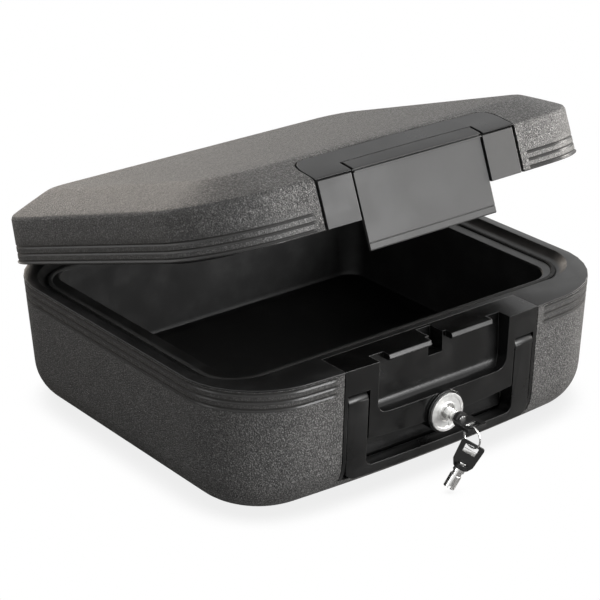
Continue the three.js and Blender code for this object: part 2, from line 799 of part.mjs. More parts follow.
function keyBow() {
  const half = bowWidth / 2;
  const waist = half - 1.2;
  const neck = keyTubeRadius + 1.2;
  const outline = polygon([
    [-half + 1.6, 0], [half - 1.6, 0], [half - 0.4, 0.5], [half, 1.8], [waist, bowLength - 4.5],
    [neck, bowLength], [-neck, bowLength], [-waist, bowLength - 4.5], [-half, 1.8], [-half + 0.4, 0.5],
  ]);
  const hole = roundedBox(-holeHalf, holeMargin, holeHalf, holeMargin + holeLength, 0.8);
  const socket = rodY(keyTubeRadius - 1, bowLength - 5.3, bowLength + 2, 0, 0, 20);
  const collar = rodY(keyTubeRadius + 1.1, bowLength - 3.4, bowLength, 0, 0, 20);
  const plate = cut(alongZ(outline, -bowThickness / 2, bowThickness / 2), alongZ(hole, -far, far, 3));
  return cut(join(plate, collar), socket);
}

function keyTube(length) {
  const root = bowLength - 5;
  const stem = rodY(keyTubeRadius - 1.4, root, bowLength + 4, 0, 0, 20);
  const tube = rodY(keyTubeRadius, bowLength + running, length, 0, 0, 28);
  const bore = rodY(keyTubeBore, length - 8, length + 1, 0, 0, 24);
  const ward = block(-1, 1, length - 2.2, length + 1, keyTubeBore - 1, far);
  const waist = cut(
    rodY(keyTubeRadius + 1, bowLength + 3, bowLength + 6.5, 0, 0, 28),
    rodY(keyTubeRadius - 0.9, bowLength + 2, bowLength + 8, 0, 0, 28),
  );
  return cut(join(stem, tube), bore, ward, waist);
}

function keyPair(bowName, tubeName, length) {
  const key = new THREE.Group();
  key.add(piece(bowName, keyBow(), finishes.key));
  key.add(piece(tubeName, keyTube(length), finishes.bright));
  return key;
}

const keyLength = keySeat - bowEnd;

function buildInsertedKey() {
  const key = keyPair('key_bow', 'key_tube', keyLength);
  key.position.set(0, bowEnd, lockZ);
  return key;
}

// The ring hangs round the strip at the outer end of the bow, and lies in a YZ plane

const stripY = bowEnd + holeMargin / 2;
const ringCentre = new THREE.Vector3(ringShift, stripY, lockZ - ringDrop);

function buildRing() {
  const steps = 28;
  const sides = 8;
  const rings = Array.from({ length: steps }, (_, i) => {
    const turn = -i / steps * Math.PI * 2;
    return Array.from({ length: sides }, (_unused, k) => {
      const around = k / sides * Math.PI * 2;
      const out = ringRadius + ringWire * Math.cos(around);
      return new THREE.Vector3(
        ringCentre.x + ringWire * Math.sin(around),
        ringCentre.y + out * Math.cos(turn),
        ringCentre.z + out * Math.sin(turn),
      );
    });
  });
  return piece('key_ring', loft(rings, true), finishes.bright);
}

// The spare key hangs from the bottom of the ring and leans, its tip just above the table

const spareTip = new THREE.Vector3(ringShift - spareLean, bowEnd + spareSwing, spareTipZ);

function buildSpareKey() {
  const wireBottom = ringCentre.clone().add(new THREE.Vector3(0, 0, -ringRadius));
  const alongKey = spareTip.clone().sub(wireBottom).normalize();
  const towardsEye = new THREE.Vector3(-0.553, -0.73, 0.401);
  const faceNormal = towardsEye.sub(alongKey.clone().multiplyScalar(towardsEye.dot(alongKey))).normalize();
  const across = new THREE.Vector3().crossVectors(alongKey, faceNormal);
  const hang = holeMargin + ringWire + 0.8;
  const key = keyPair('spare_key_bow', 'spare_key_tube', spareTip.distanceTo(wireBottom) + hang);
  const turned = new THREE.Matrix4().makeBasis(across, alongKey, faceNormal);
  key.quaternion.setFromRotationMatrix(turned);
  key.position.copy(wireBottom).sub(alongKey.clone().multiplyScalar(hang));
  return key;
}

// Hinges: a bracket with two ears in the base's pocket, a pin, and a leaf on the lid

function buildBracket(side) {
  const x = side * hingeSpread;
  const half = knuckleLength / 2 + running;
  const plateBack = pocketFront + running + leafThickness;
  const eye = rodX(knuckleRadius, x - half - earThickness, x + half + earThickness, hingeY, hingeZ);
  const neck = block(
    x - half - earThickness, x + half + earThickness, pocketFront + running, hingeY,
    hingeZ - knuckleRadius, hingeZ + 3,
  );
  const slot = block(x - half, x + half, plateBack, far, 0, far);
  const plate = block(
    x - half - earThickness, x + half + earThickness, pocketFront + running, plateBack,
    pocketFloor + running, rimHeight - 4,
  );
  const bore = rodX(hingePinRadius + 0.1, -far, far, hingeY, hingeZ);
  const holes = bracketScrewPlaces(side).map(([sx, sz]) => rodY(1.9, -far, far, sx, sz, 16));
  const ears = cut(join(eye, neck), slot);
  return piece(
    `hinge_bracket_${sideName(side)}`, cut(join(ears, plate), bore, ...holes), finishes.zinc,
  );
}

const bracketScrewPlaces = (side) => [-5, 5].map((dx) => [side * hingeSpread + dx, rimHeight - 7.2]);

function buildBracketScrews(side) {
  const y0 = pocketFront + running * 2 + leafThickness;
  return bracketScrewPlaces(side).map(([x, z], index) => {
    const head = rodY(3, y0, y0 + 1.1, x, z, 16);
    const shank = rodY(1.6, pocketFront + running + 0.1, y0 + 0.4, x, z, 12);
    return piece(`bracket_screw_${sideName(side)}_${index + 1}`, join(head, shank), finishes.zinc);
  });
}

function buildHingePin(side) {
  const x = side * hingeSpread;
  const half = knuckleLength / 2 + running + earThickness;
  const rod = rodX(hingePinRadius, x - half, x + half, hingeY, hingeZ, 20);
  return piece(`hinge_pin_${sideName(side)}`, rod, finishes.zinc);
}

// The leaf comes up from the knuckle and turns forward under the lid's flange

const leafTop = lidBottom + 3.8;
const leafFront = hingeY - 17;

function buildLeaf(side) {
  const x = side * hingeSpread;
  const half = knuckleLength / 2;
  const knuckle = rodX(knuckleRadius - 0.3, x - half, x + half, hingeY, hingeZ);
  const arm = block(x - half, x + half, hingeY - leafThickness, hingeY + 0.4, hingeZ, leafTop);
  const foot = block(x - half, x + half, leafFront, hingeY + 0.4, leafTop - leafThickness, leafTop);
  const bore = rodX(hingePinRadius + 0.2, -far, far, hingeY, hingeZ);
  const holes = leafScrewPlaces(side).map(([sx, sy]) => rodZ(1.9, 0, far, sx, sy, 16));
  return piece(`hinge_leaf_${sideName(side)}`, cut(join(knuckle, arm, foot), bore, ...holes), finishes.zinc);
}

const leafScrewPlaces = (side) => [-5, 5].map((dx) => [side * hingeSpread + dx, leafFront + 6]);

function buildLeafScrews(side) {
  const z1 = leafTop - leafThickness - running;
  return leafScrewPlaces(side).map(([x, y], index) => {
    const head = rodZ(3, z1 - 1.1, z1, x, y, 16);
    const shank = rodZ(1.6, z1 - 0.4, leafTop - 0.1, x, y, 12);
    return piece(`leaf_screw_${sideName(side)}_${index + 1}`, join(head, shank), finishes.zinc);
  });
}

// Lid: shell, filler, liner with its skirt, bezel, cheeks

const lowestLidReed = lidBottom + lidLip + lidReedRise;
const lidReeds = reedStack(Array.from({ length: reedCount }, (_, i) => lowestLidReed + i * lidReedPitch));
const landZ = ledgeZ + sealProud + sealLandGap;
const skirtGap = 1.6;
const linerTop = lidBottom + 0.6 + linerWall;
const ceiling = rimHeight + panRise;

const skirtOutline = (run, grow = 0) => planOutline({
  halfX: stepHalfX - skirtGap - run + grow,
  front: stepFront + skirtGap + run - grow,
  back: stepBack - skirtGap - 2 - run + grow,
  radius: stepRadius - skirtGap - run + grow,
  bowed: false,
});

const panOutline = (grow) => planOutline({
  halfX: cavityHalfX + grow,
  front: cavityFront - grow,
  back: cavityBack + grow,
  radius: cavityRadius + grow,
  bowed: false,
});

// The front of the lid where the bezel, cheeks and flap stand instead of the shell
function lidFrontOpening(gap) {
  const front = block(-insertHalf - gap, insertHalf + gap, -far, insertBack - 1.4, 0, lidWallTop + 1.5);
  const facet = facetShape(insertHalf + gap, gap);
  return join(front, facet);
}

// The facet's outline in plan: straight sides, and rounded corners at its upper edge
const facetBackY = -bodyDepth / 2 - frontBow + lidWallInset
  + (facetTop - lidWallTop) * (lidTopInset - lidWallInset) / (lidTop - lidWallTop);

function facetShape(half, gap) {
  const shape = new THREE.Shape();
  const back = facetBackY + gap;
  shape.moveTo(-half, -far);
  shape.lineTo(half, -far);
  shape.lineTo(half, back - facetCorner * 1.5);
  shape.quadraticCurveTo(half, back, half - facetCorner * 1.3, back);
  shape.lineTo(-half + facetCorner * 1.3, back);
  shape.quadraticCurveTo(-half, back, -half, back - facetCorner * 1.5);
  return alongZ(shape, 0, far, 8);
}

const flapZone = (grow) => join(
  rodX(flapLipReach + grow, -cheekInner + 0.2, cheekInner - 0.2, flapPivotY, flapPivotZ, 48),
  block(-cheekInner + 0.2, cheekInner - 0.2, -far, flapPivotY + 4, 0, flapPivotZ + 3),
);

const leafPocket = (side, gap) => {
  const x = side * hingeSpread;
  const half = knuckleLength / 2 + gap;
  return block(x - half, x + half, leafFront - gap, far, 0, leafTop + gap);
};

function buildLid() {
  const outer = lidBody(0, lidBottom, lidReeds);
  const inner = lidBody(shellWall, lidBottom - 2);
  const leafPockets = hingeSides.map((side) => leafPocket(side, running));
  const shell = cut(outer, inner, lidFrontOpening(insertGap), ...leafPockets);

  const rim = lidBody(shellWall + running, lidBottom);
  const band = block(-far, far, -far, far, 0, linerTop);
  const skirt = loft([
    level(skirtOutline(stepRun * 0.8), landZ),
    level(skirtOutline(0), lidBottom + 0.1),
    level(skirtOutline(0), linerTop),
  ]);
  const panShell = loft([
    level(panOutline(linerWall), lidBottom), level(panOutline(linerWall), ceiling + linerWall),
  ]);
  const pan = loft([level(panOutline(0), 0), level(panOutline(-1), ceiling)]);
  const liftedRim = cut(meet(rim, band), block(-far, far, -far, far, 0, lidBottom + 0.6));
  const liner = cut(
    join(liftedRim, skirt, panShell), pan,
    block(-insertHalf - insertGap, insertHalf + insertGap, -far, insertBack + 3, 0, far), ...leafPockets,
  );

  const fillerBlock = cut(
    lidBody(shellWall + running, linerTop + running),
    loft([
      level(panOutline(linerWall + running), 0),
      level(panOutline(linerWall + running), ceiling + linerWall + running),
    ]),
    block(-insertHalf - insertGap, insertHalf + insertGap, -far, insertBack + 3, 0, far),
    ...leafPockets,
  );
  const filler = cut(fillerBlock, meet(lidFrontOpening(insertGap + 0.3), cut(lidBody(0, 0), lidBody(7, 0))));
  return [
    piece('lid_shell', shell, finishes.shell),
    piece('lid_filler', filler, finishes.filler),
    piece('lid_liner', liner, finishes.liner),
  ];
}

// Bezel: the smooth facet above the flap, with a bay behind it for the flap's knuckles
function buildBezel() {
  const skin = cut(lidBody(0, 0), lidBody(insertWall, 0));
  const facet = meet(skin, facetShape(insertHalf, 0), block(-far, far, -far, far, lidWallTop - 1.2, far));
  const floor = lidBottom + 0.3;
  const behind = join(
    lidBody(insertWall + 0.3, 0),
    meet(lidBody(1, 0), facetShape(insertHalf, -1.5), block(-far, far, -far, far, lidWallTop - 1, far)),
  );
  const deck = meet(behind, block(-insertHalf, insertHalf, -far, insertBack + 1, floor, floor + 2.5));
  const wall = meet(behind, block(-insertHalf, insertHalf, facetBackY - 5, facetBackY - 2.4, floor, far));
  const cheekBacks = meet(
    cut(behind, lidBody(insertWall + 2.6, 0)),
    join(...hingeSides.map((side) => {
      const x = side * (cheekInner + insertHalf) / 2;
      const half = (insertHalf - cheekInner) / 2;
      return block(x - half, x + half, -far, 0, floor, lidWallTop);
    })),
  );
  const ribs = hingeSides.map((side) => {
    const x = side * (cheekInner + 1.2);
    return meet(behind, block(x - 1.2, x + 1.2, -far, insertBack + 1, floor, far));
  });
  const bezel = meet(join(facet, deck, wall, cheekBacks, ...ribs), lidBody(0, 0));
  const pinBores = rodX(flapPinRadius + 0.2, -cheekInner - 3, cheekInner + 3, flapPivotY, flapPivotZ);
  const opening = block(-cheekInner + 0.2, cheekInner - 0.2, -far, flapPivotY + 4, 0, flapPivotZ);
  return piece('lid_bezel', cut(bezel, flapZone(flapGap), pinBores, opening), finishes.trim);
}

function buildCheek(side) {
  const skin = cut(lidBody(0.2, 0), lidBody(insertWall, 0));
  const x0 = side < 0 ? -cheekOuter : cheekInner + 0.3;
  const panel = block(x0, x0 + cheekOuter - cheekInner - 0.3, -far, 0, lidBottom + 0.1, lidWallTop - 2.6);
  return piece(`lid_cheek_${sideName(side)}`, meet(skin, panel), finishes.trim);
}

// Latch flap: a curved plate over the front, a lip over the shoulder, knuckles, hooks and a tongue

function buildFlap() {
  const wallSlope = (flapShoulderDepth - flapFootDepth) / (lidWallTop - 1 - flapBottom);
  const outerAt = (z) => frontY + flapFootDepth + wallSlope * (z - flapBottom);
  const plateShape = new THREE.Shape();
  plateShape.moveTo(outerAt(flapBottom) + 0.7, flapBottom);
  plateShape.lineTo(outerAt(flapBottom + 0.9), flapBottom + 0.9);
  plateShape.lineTo(outerAt(lidWallTop - 3), lidWallTop - 3);
  plateShape.lineTo(outerAt(lidWallTop - 3) + 1, lidWallTop - 0.6);
  plateShape.lineTo(outerAt(lidWallTop - 3) + 1 + flapWall, lidWallTop - 2.6);
  plateShape.lineTo(outerAt(flapBottom) + flapWall, flapBottom);
  const plate = alongX(plateShape, -flapHalf, flapHalf);

  const reach = rodX(flapLipReach, -flapHalf, flapHalf, flapPivotY, flapPivotZ, 48);
  const lipSkin = cut(lidBody(0, 0), lidBody(flapWall, 0));
  const lip = meet(lipSkin, reach, block(-far, far, -far, far, lidWallTop - 3.4, far));

  const eyeRadius = flapPinRadius + 2.4;
  const eyes = hingeSides.map((s) => {
    const x0 = s < 0 ? -flapHalf + 1 : flapHalf - 9;
    const eye = rodX(eyeRadius, x0, x0 + 8, flapPivotY, flapPivotZ);
    const web = block(
      x0, x0 + 8, outerAt(flapPivotZ) + 1, flapPivotY, flapPivotZ - eyeRadius, flapPivotZ + 2,
    );
    return join(eye, web);
  });
  const pinBore = rodX(flapPinRadius + 0.25, -far, far, flapPivotY, flapPivotZ);

  const hookTop = rimHeight - strikeThickness - 0.5 - 0.3;
  const hookReach = strikeNose - running;
  const hooks = hingeSides.map((s) => {
    const x0 = s < 0 ? -strikeOuter + 6 : strikeInner + 6;
    const x1 = x0 + strikeOuter - strikeInner - 12;
    const shape = polygon([
      [outerAt(hookTop) + 1, hookTop], [hookReach, hookTop], [hookReach, hookTop - 1.6],
      [outerAt(hookTop - 6) + flapWall, hookTop - 6.5], [outerAt(hookTop - 6) + 1, hookTop - 6.5],
    ]);
    return alongX(shape, x0, x1);
  });

  const tongue = cut(
    block(-5.2, 5.2, outerAt(notchBottom + 4) + 1, notchBack - 1.4, notchBottom + 4, notchBottom + 11.4),
    block(-far, far, camStart - 0.6, camStart + camThickness + 0.6, 0, notchBottom + 8.9),
  );
  const shoulderFace = outerAt(lidWallTop - 3) + 1.1;
  const shoulderLine = block(-far, far, -far, shoulderFace, lidWallTop - 2.2, lidWallTop - 1);
  const thumbLine = block(-far, far, -far, outerAt(flapBottom + 6) + 0.5, flapBottom + 5.6, flapBottom + 6.3);
  const flap = cut(join(plate, lip, ...eyes, ...hooks, tongue), pinBore, shoulderLine, thumbLine);
  return piece('latch_flap', flap, finishes.trim);
}

function buildFlapPin() {
  const half = cheekInner + 2.3;
  return piece('latch_pin', rodX(flapPinRadius, -half, half, flapPivotY, flapPivotZ, 16), finishes.zinc);
}

// Assembly

const chest = new THREE.Group();

const base = new THREE.Group();
base.add(...buildBase(), buildFrontInsert(), ...buildHandlePins());
base.add(buildLockBody(), buildLockNut());
hingeSides.forEach((side) => base.add(buildBracket(side), buildHingePin(side), ...buildBracketScrews(side)));

const lock = new THREE.Group();
lock.add(buildPlug(), buildCam(), buildCamScrew(), buildInsertedKey());

const hangingKeys = new THREE.Group();
hangingKeys.add(buildRing(), buildSpareKey());

const lidShut = new THREE.Group();
lidShut.add(...buildLid(), buildBezel(), buildFlap(), buildFlapPin());
hingeSides.forEach((side) => lidShut.add(buildCheek(side), buildLeaf(side), ...buildLeafScrews(side)));
lidShut.position.set(0, -hingeY, -hingeZ);

const lid = new THREE.Group();
lid.add(lidShut);
lid.position.set(0, hingeY, hingeZ);
lid.rotation.x = -THREE.MathUtils.degToRad(lidOpen);

chest.add(base, buildHandle(), lock, hangingKeys, lid);

export default chest;
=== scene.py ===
"""Looks of a fireproof chest: grained shells, black mouldings, a key lock and its keys.

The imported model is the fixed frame. Lengths are in metres in that frame: +Z is up, the
latch faces -Y, and +X is to the right of the front. Each sub-assembly is a class that
builds its pieces, dresses them and hangs them on their bodies.
"""

import json
import logging
import math
from dataclasses import dataclass, field, fields
from enum import Enum
from typing import Callable, NamedTuple, Optional, Sequence, Union

import bmesh
import bpy
import numpy as np
from mathutils import Matrix, Vector

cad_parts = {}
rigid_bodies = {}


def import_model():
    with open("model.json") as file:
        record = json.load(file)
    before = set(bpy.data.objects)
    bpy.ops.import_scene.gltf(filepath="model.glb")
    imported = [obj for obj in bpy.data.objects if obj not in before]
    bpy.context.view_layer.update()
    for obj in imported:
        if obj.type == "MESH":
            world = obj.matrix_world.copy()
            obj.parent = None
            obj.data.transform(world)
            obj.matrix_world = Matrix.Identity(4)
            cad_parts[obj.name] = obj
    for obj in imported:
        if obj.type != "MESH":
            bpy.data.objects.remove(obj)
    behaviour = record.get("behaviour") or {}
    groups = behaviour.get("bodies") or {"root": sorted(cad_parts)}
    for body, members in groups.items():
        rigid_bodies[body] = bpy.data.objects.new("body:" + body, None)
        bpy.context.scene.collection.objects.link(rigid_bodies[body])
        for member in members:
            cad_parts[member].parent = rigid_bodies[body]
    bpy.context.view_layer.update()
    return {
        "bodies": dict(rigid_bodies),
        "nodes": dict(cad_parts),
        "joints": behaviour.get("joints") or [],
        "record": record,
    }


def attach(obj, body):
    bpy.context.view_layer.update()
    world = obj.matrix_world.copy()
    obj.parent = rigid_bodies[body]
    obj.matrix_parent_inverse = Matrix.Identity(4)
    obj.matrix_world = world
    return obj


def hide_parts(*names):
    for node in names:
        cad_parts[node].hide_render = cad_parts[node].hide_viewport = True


MM = 0.001
BEYOND = 1.0  # how far out a cutter runs where it opens to the outside
LOG = logging.getLogger("chest")
SHARP = math.radians(32.0)
SIDES = (("left", -1), ("right", 1))
Triple = tuple[float, float, float]
Socket = bpy.types.NodeSocket
Value = Union[float, Socket]


class Slot(Enum):
    """The record's material slots."""

    SHELL = "shell_plastic"
    LINER = "liner_plastic"
    SEAL = "seal_rubber"
    TRIM = "trim_plastic"
    BRIGHT = "bright_metal"
    ZINC = "zinc_steel"
    KEY = "key_plastic"


class Body(Enum):
    """The bodies that pieces ride on."""

    BASE = "base"
    LID = "lid"
    LATCH = "latch"
    HANDLE = "handle"
    LOCK = "lock_core"
    KEY = "key"
    RING = "ring"
    SPARE = "spare_key"


def grey(value: float, warmth: float = 0.0) -> Triple:
    """A linear colour from an sRGB level of 0 to 255.

    Args:
        value: the sRGB level.
        warmth: how far red is raised and blue lowered, in levels.

    Returns:
        Red, green and blue, linear.
    """

    def linear(level: float) -> float:
        """One channel's linear share."""
        share = max(level, 0.0) / 255
        return share / 12.92 if share <= 0.04045 else ((share + 0.055) / 1.055) ** 2.4

    return linear(value + warmth), linear(value), linear(value - warmth)


def direction(azimuth: float, elevation: float) -> Vector:
    """The way out from the chest at an azimuth and an elevation.

    Args:
        azimuth: degrees from the front, positive towards the right.
        elevation: degrees above the floor.

    Returns:
        The direction, of length 1.
    """
    az, el = math.radians(azimuth), math.radians(elevation)
    return Vector((math.sin(az) * math.cos(el), -math.cos(az) * math.cos(el), math.sin(el)))


class Nodes:
    """A short way to lay out a node tree."""

    def __init__(self, tree: bpy.types.NodeTree) -> None:
        """Starts from an empty tree.

        Args:
            tree: the tree to fill.
        """
        self.tree = tree
        tree.nodes.clear()

    def feed(self, socket: Socket, value: object) -> None:
        """Links a socket into an input, or sets the input to a value.

        Args:
            socket: the input.
            value: a number, a triple, a material or another node's socket.
        """
        if isinstance(value, Socket):
            self.tree.links.new(value, socket)
        else:
            socket.default_value = (*value, 1.0) if socket.type == "RGBA" else value

    def add(
        self, kind: str, inputs: Optional[dict] = None, **settings: object
    ) -> bpy.types.Node:
        """Adds a node, with its settings and its inputs.

        Args:
            kind: the node's type name.
            inputs: socket name or index to a value or to another node's socket.
            **settings: the node's own properties.

        Returns:
            The new node.
        """
        node = self.tree.nodes.new(kind)
        for name, value in settings.items():
            setattr(node, name, value)
        for key, value in (inputs or {}).items():
            self.feed(node.inputs[key], value)
        return node

    def math(self, operation: str, first: Value, second: Value) -> Socket:
        """One Math node.

        Args:
            operation: the node's operation.
            first: a value or a socket.
            second: a value or a socket.

        Returns:
            The result's socket.
        """
        return self.add("ShaderNodeMath", {0: first, 1: second}, operation=operation).outputs[0]

    def ramp(
        self, value: Socket, low: float, high: float, to_low: float = 0.0, to_high: float = 1.0
    ) -> Socket:
        """Maps a value from one range to another, smoothly and clamped.

        Args:
            value: the socket to map.
            low: the input that gives to_low.
            high: the input that gives to_high.
            to_low: the output at low.
            to_high: the output at high.

        Returns:
            The mapped socket.
        """
        ranges = {"From Min": low, "From Max": high, "To Min": to_low, "To Max": to_high}
        node = self.add(
            "ShaderNodeMapRange", {"Value": value, **ranges}, interpolation_type="SMOOTHSTEP"
        )
        return node.outputs["Result"]

    def mix(
        self, factor: Value, first: Union[Triple, Socket], second: Union[Triple, Socket]
    ) -> Socket:
        """Mixes two colours.

        Args:
            factor: a value or a socket.
            first: the colour or socket at 0.
            second: the colour or socket at 1.

        Returns:
            The mixed colour's socket.
        """
        inputs = {"Factor": factor, 6: first, 7: second}
        return self.add("ShaderNodeMix", inputs, data_type="RGBA").outputs[2]


class Surface(Nodes):
    """A material's tree, with its principled shader and its object coordinates."""

    def __init__(self, tree: bpy.types.NodeTree) -> None:
        """Starts with the shader and its output.

        Args:
            tree: the material's tree.
        """
        super().__init__(tree)
        self.shader = self.add("ShaderNodeBsdfPrincipled")
        self.add("ShaderNodeOutputMaterial", {"Surface": self.shader.outputs[0]})
        self.where = self.add("ShaderNodeTexCoord").outputs["Object"]

    def noise(
        self, scale: float, detail: float = 3.0, roughness: float = 0.55,
        where: Optional[Socket] = None,
    ) -> Socket:
        """Noise over the surface.

        Args:
            scale: features in a metre.
            detail: octaves.
            roughness: share of the finer octaves.
            where: other coordinates than the object's.

        Returns:
            The noise's value socket.
        """
        inputs = {
            "Vector": where or self.where, "Scale": scale,
            "Detail": detail, "Roughness": roughness,
        }
        return self.add("ShaderNodeTexNoise", inputs).outputs["Fac"]

    def cells(self, scale: float, feature: str = "F1") -> Socket:
        """The distance to the nearest of many scattered points.

        Args:
            scale: points along a metre.
            feature: how the distance is taken.

        Returns:
            The distance's socket.
        """
        inputs = {"Vector": self.where, "Scale": scale, "Randomness": 1.0}
        return self.add("ShaderNodeTexVoronoi", inputs, feature=feature).outputs["Distance"]

    def eased(self, radius: float) -> Socket:
        """The surface's normal, with its edges rounded.

        Args:
            radius: how far the rounding reaches.

        Returns:
            The normal's socket.
        """
        return self.add("ShaderNodeBevel", {"Radius": radius}, samples=6).outputs[0]

    def finish(self, **inputs: object) -> None:
        """Feeds the shader's inputs.

        Args:
            **inputs: each input's name, with _ for a space, and a value or a socket.
        """
        for name, value in inputs.items():
            self.feed(self.shader.inputs[name.replace("_", " ")], value)

    def bump(
        self, height: Socket, strength: float, distance: float, over: Optional[Socket] = None
    ) -> None:
        """Roughens the shader's normal.

        Args:
            height: the relief's socket.
            strength: its share.
            distance: its depth.
            over: a normal that it lies on, if not the surface's own.
        """
        inputs = {"Height": height, "Strength": strength, "Distance": distance}
        if over is not None:
            inputs["Normal"] = over
        self.finish(Normal=self.add("ShaderNodeBump", inputs).outputs[0])


class Finish:
    """What every finish shares: a material with a principled shader, made once."""

    name: str

    def material(self) -> bpy.types.Material:
        """The finish's material, built on its first use.

        Returns:
            The material.
        """
        found = bpy.data.materials.get(self.name)
        if found:
            return found
        made = bpy.data.materials.new(self.name)
        made.use_nodes = True
        self.dress(Surface(made.node_tree))
        return made

    def dress(self, look: Surface) -> None:
        """Fills in the shader. Each finish has its own way.

        Args:
            look: the material's tree.
        """
        raise NotImplementedError


@dataclass(frozen=True)
class GrainedPlastic(Finish):
    """Fine leather-grained plastic: paler tips, partly wear and partly painted highlight, darker
    pits of painted shade, and smooth reeds.
    """

    name: str = "grained_plastic"
    pit: Triple = grey(24, 0.6)
    body: Triple = grey(74, 0.7)
    tip: Triple = grey(150, 1.2)
    sleek: Triple = grey(54, 0.6)
    grain: float = 1000.0
    cell_share: float = 0.42
    fine_share: float = 0.85
    coarse_share: float = 0.36
    mottle: float = 0.2
    tip_range: tuple[float, float] = (0.28, 0.58)
    pit_range: tuple[float, float] = (0.28, 0.06)
    blotch_scale: float = 26.0
    blotch_depth: float = 0.14
    height: float = 0.001
    roughness: float = 0.4
    sleek_roughness: float = 0.27
    sleek_grain: float = 0.06

    def dress(self, look: Surface) -> None:
        """Grain from cells broken up by noise, faded out where the surface is smooth.

        Args:
            look: the material's tree.
        """
        cells = look.cells(self.grain, "SMOOTH_F1")
        broken = look.noise(self.grain * self.fine_share, 4.0, 0.62)
        coarse = look.noise(self.grain * self.coarse_share, 2.0, 0.7)
        raised = look.math("SUBTRACT", broken, look.math("MULTIPLY", cells, self.cell_share))
        shift = look.math("MULTIPLY", look.math("SUBTRACT", coarse, 0.5), self.mottle)
        shifted = look.math("ADD", raised, shift)
        # The paler tips are partly wear and partly painted highlight; the darker pits are painted
        # shade in the grain's hollows.
        colour = look.mix(look.ramp(shifted, *self.tip_range), self.body, self.tip)
        colour = look.mix(look.ramp(shifted, *self.pit_range), colour, self.pit)
        blotch = look.ramp(look.noise(self.blotch_scale, 2.0), 0.35, 0.75, 0.0, self.blotch_depth)
        colour = look.mix(blotch, colour, self.pit)
        smooth = look.add("ShaderNodeAttribute", attribute_name="sleek").outputs["Fac"]
        gloss = look.ramp(raised, 0.1, 0.6, self.roughness + 0.14, self.roughness - 0.1)
        rough = look.math("MULTIPLY", gloss, look.math("SUBTRACT", 1.0, smooth))
        rough = look.math("ADD", rough, look.math("MULTIPLY", smooth, self.sleek_roughness))
        look.finish(Base_Color=look.mix(smooth, colour, self.sleek), Roughness=rough, IOR=1.5)
        faded = look.ramp(smooth, 0.0, 1.0, 1.0, self.sleek_grain)
        look.bump(look.math("MULTIPLY", raised, faded), 1.0, self.height)


@dataclass(frozen=True)
class MouldedPlastic(Finish):
    """Fine spark-eroded black plastic, with eased edges painted a little paler: partly wear,
    partly a painted highlight.
    """

    name: str
    body: Triple
    # the pale colour of the smudges and of the edges; the edges' paleness is partly wear and
    # partly painted highlight
    worn: Triple
    roughness: float
    spark: float = 2400.0
    height: float = 0.00004
    edge: float = 0.0007
    edge_turn: tuple[float, float] = (0.992, 0.86)
    edge_wear: float = 0.7
    smudge_scale: float = 34.0
    smear: float = 0.12

    def dress(self, look: Surface) -> None:
        """A sand-fine bump over eased edges, faint smudges, and a pale edge where edges turn,
        partly wear and partly painted highlight.

        Args:
            look: the material's tree.
        """
        fine = look.noise(self.spark, 2.0)
        smudge = look.noise(self.smudge_scale, 4.0, 0.6)
        eased = look.eased(self.edge)
        flat = look.add("ShaderNodeNewGeometry").outputs["Normal"]
        turn = look.add("ShaderNodeVectorMath", {0: eased, 1: flat}, operation="DOT_PRODUCT")
        # Painted highlight, partly wear: where the eased normal turns from the face, the edge is
        # mixed towards the pale colour.
        worn = look.ramp(turn.outputs["Value"], *self.edge_turn, 0.0, self.edge_wear)
        patchy = look.math("MULTIPLY", worn, look.ramp(smudge, 0.3, 0.6, 0.35, 1.0))
        base = look.mix(look.ramp(smudge, 0.4, 0.8, 0.0, self.smear), self.body, self.worn)
        gloss = look.ramp(smudge, 0.25, 0.75, self.roughness - 0.05, self.roughness + 0.08)
        look.finish(Base_Color=look.mix(patchy, base, self.worn), Roughness=gloss, IOR=1.47)
        look.bump(fine, 0.5, self.height, eased)


@dataclass(frozen=True)
class PolishedMetal(Finish):
    """Bright plated metal with faint turning marks and hairline scratches."""

    name: str = "polished_metal"
    body: Triple = (0.86, 0.86, 0.85)
    dull: Triple = (0.62, 0.62, 0.61)
    roughness: float = 0.16
    scratch: float = 900.0
    scratch_depth: float = 0.00002
    stretch: Triple = (1.0, 0.06, 0.35)
    bloom_scale: float = 120.0
    bloom_share: float = 0.5
    edge: float = 0.0003

    def dress(self, look: Surface) -> None:
        """Scratches from stretched noise, and a dull bloom in patches.

        Args:
            look: the material's tree.
        """
        stretched = look.add("ShaderNodeMapping", {"Vector": look.where, "Scale": self.stretch})
        lines = look.noise(self.scratch, 3.0, where=stretched.outputs[0])
        bloom = look.ramp(look.noise(self.bloom_scale, 3.0), 0.35, 0.75, 0.0, self.bloom_share)
        gloss = look.ramp(lines, 0.35, 0.7, self.roughness, self.roughness + 0.16)
        look.finish(
            Base_Color=look.mix(bloom, self.body, self.dull), Roughness=gloss, Metallic=1.0
        )
        look.bump(lines, 0.25, self.scratch_depth, look.eased(self.edge))


@dataclass(frozen=True)
class SoftRubber(Finish):
    """Dull extruded rubber with a dusty bloom."""

    name: str = "soft_rubber"
    body: Triple = grey(24)
    dust: Triple = grey(52, 1.0)
    dust_scale: float = 180.0
    dust_share: float = 0.6
    dust_height: float = 0.00008

    def dress(self, look: Surface) -> None:
        """Dust in patches over a fine pitted bump.

        Args:
            look: the material's tree.
        """
        dust = look.noise(self.dust_scale, 4.0, 0.7)
        colour = look.mix(look.ramp(dust, 0.45, 0.8, 0.0, self.dust_share), self.body, self.dust)
        look.finish(Base_Color=colour, Roughness=look.ramp(dust, 0.3, 0.8, 0.62, 0.85))
        look.bump(dust, 0.4, self.dust_height)


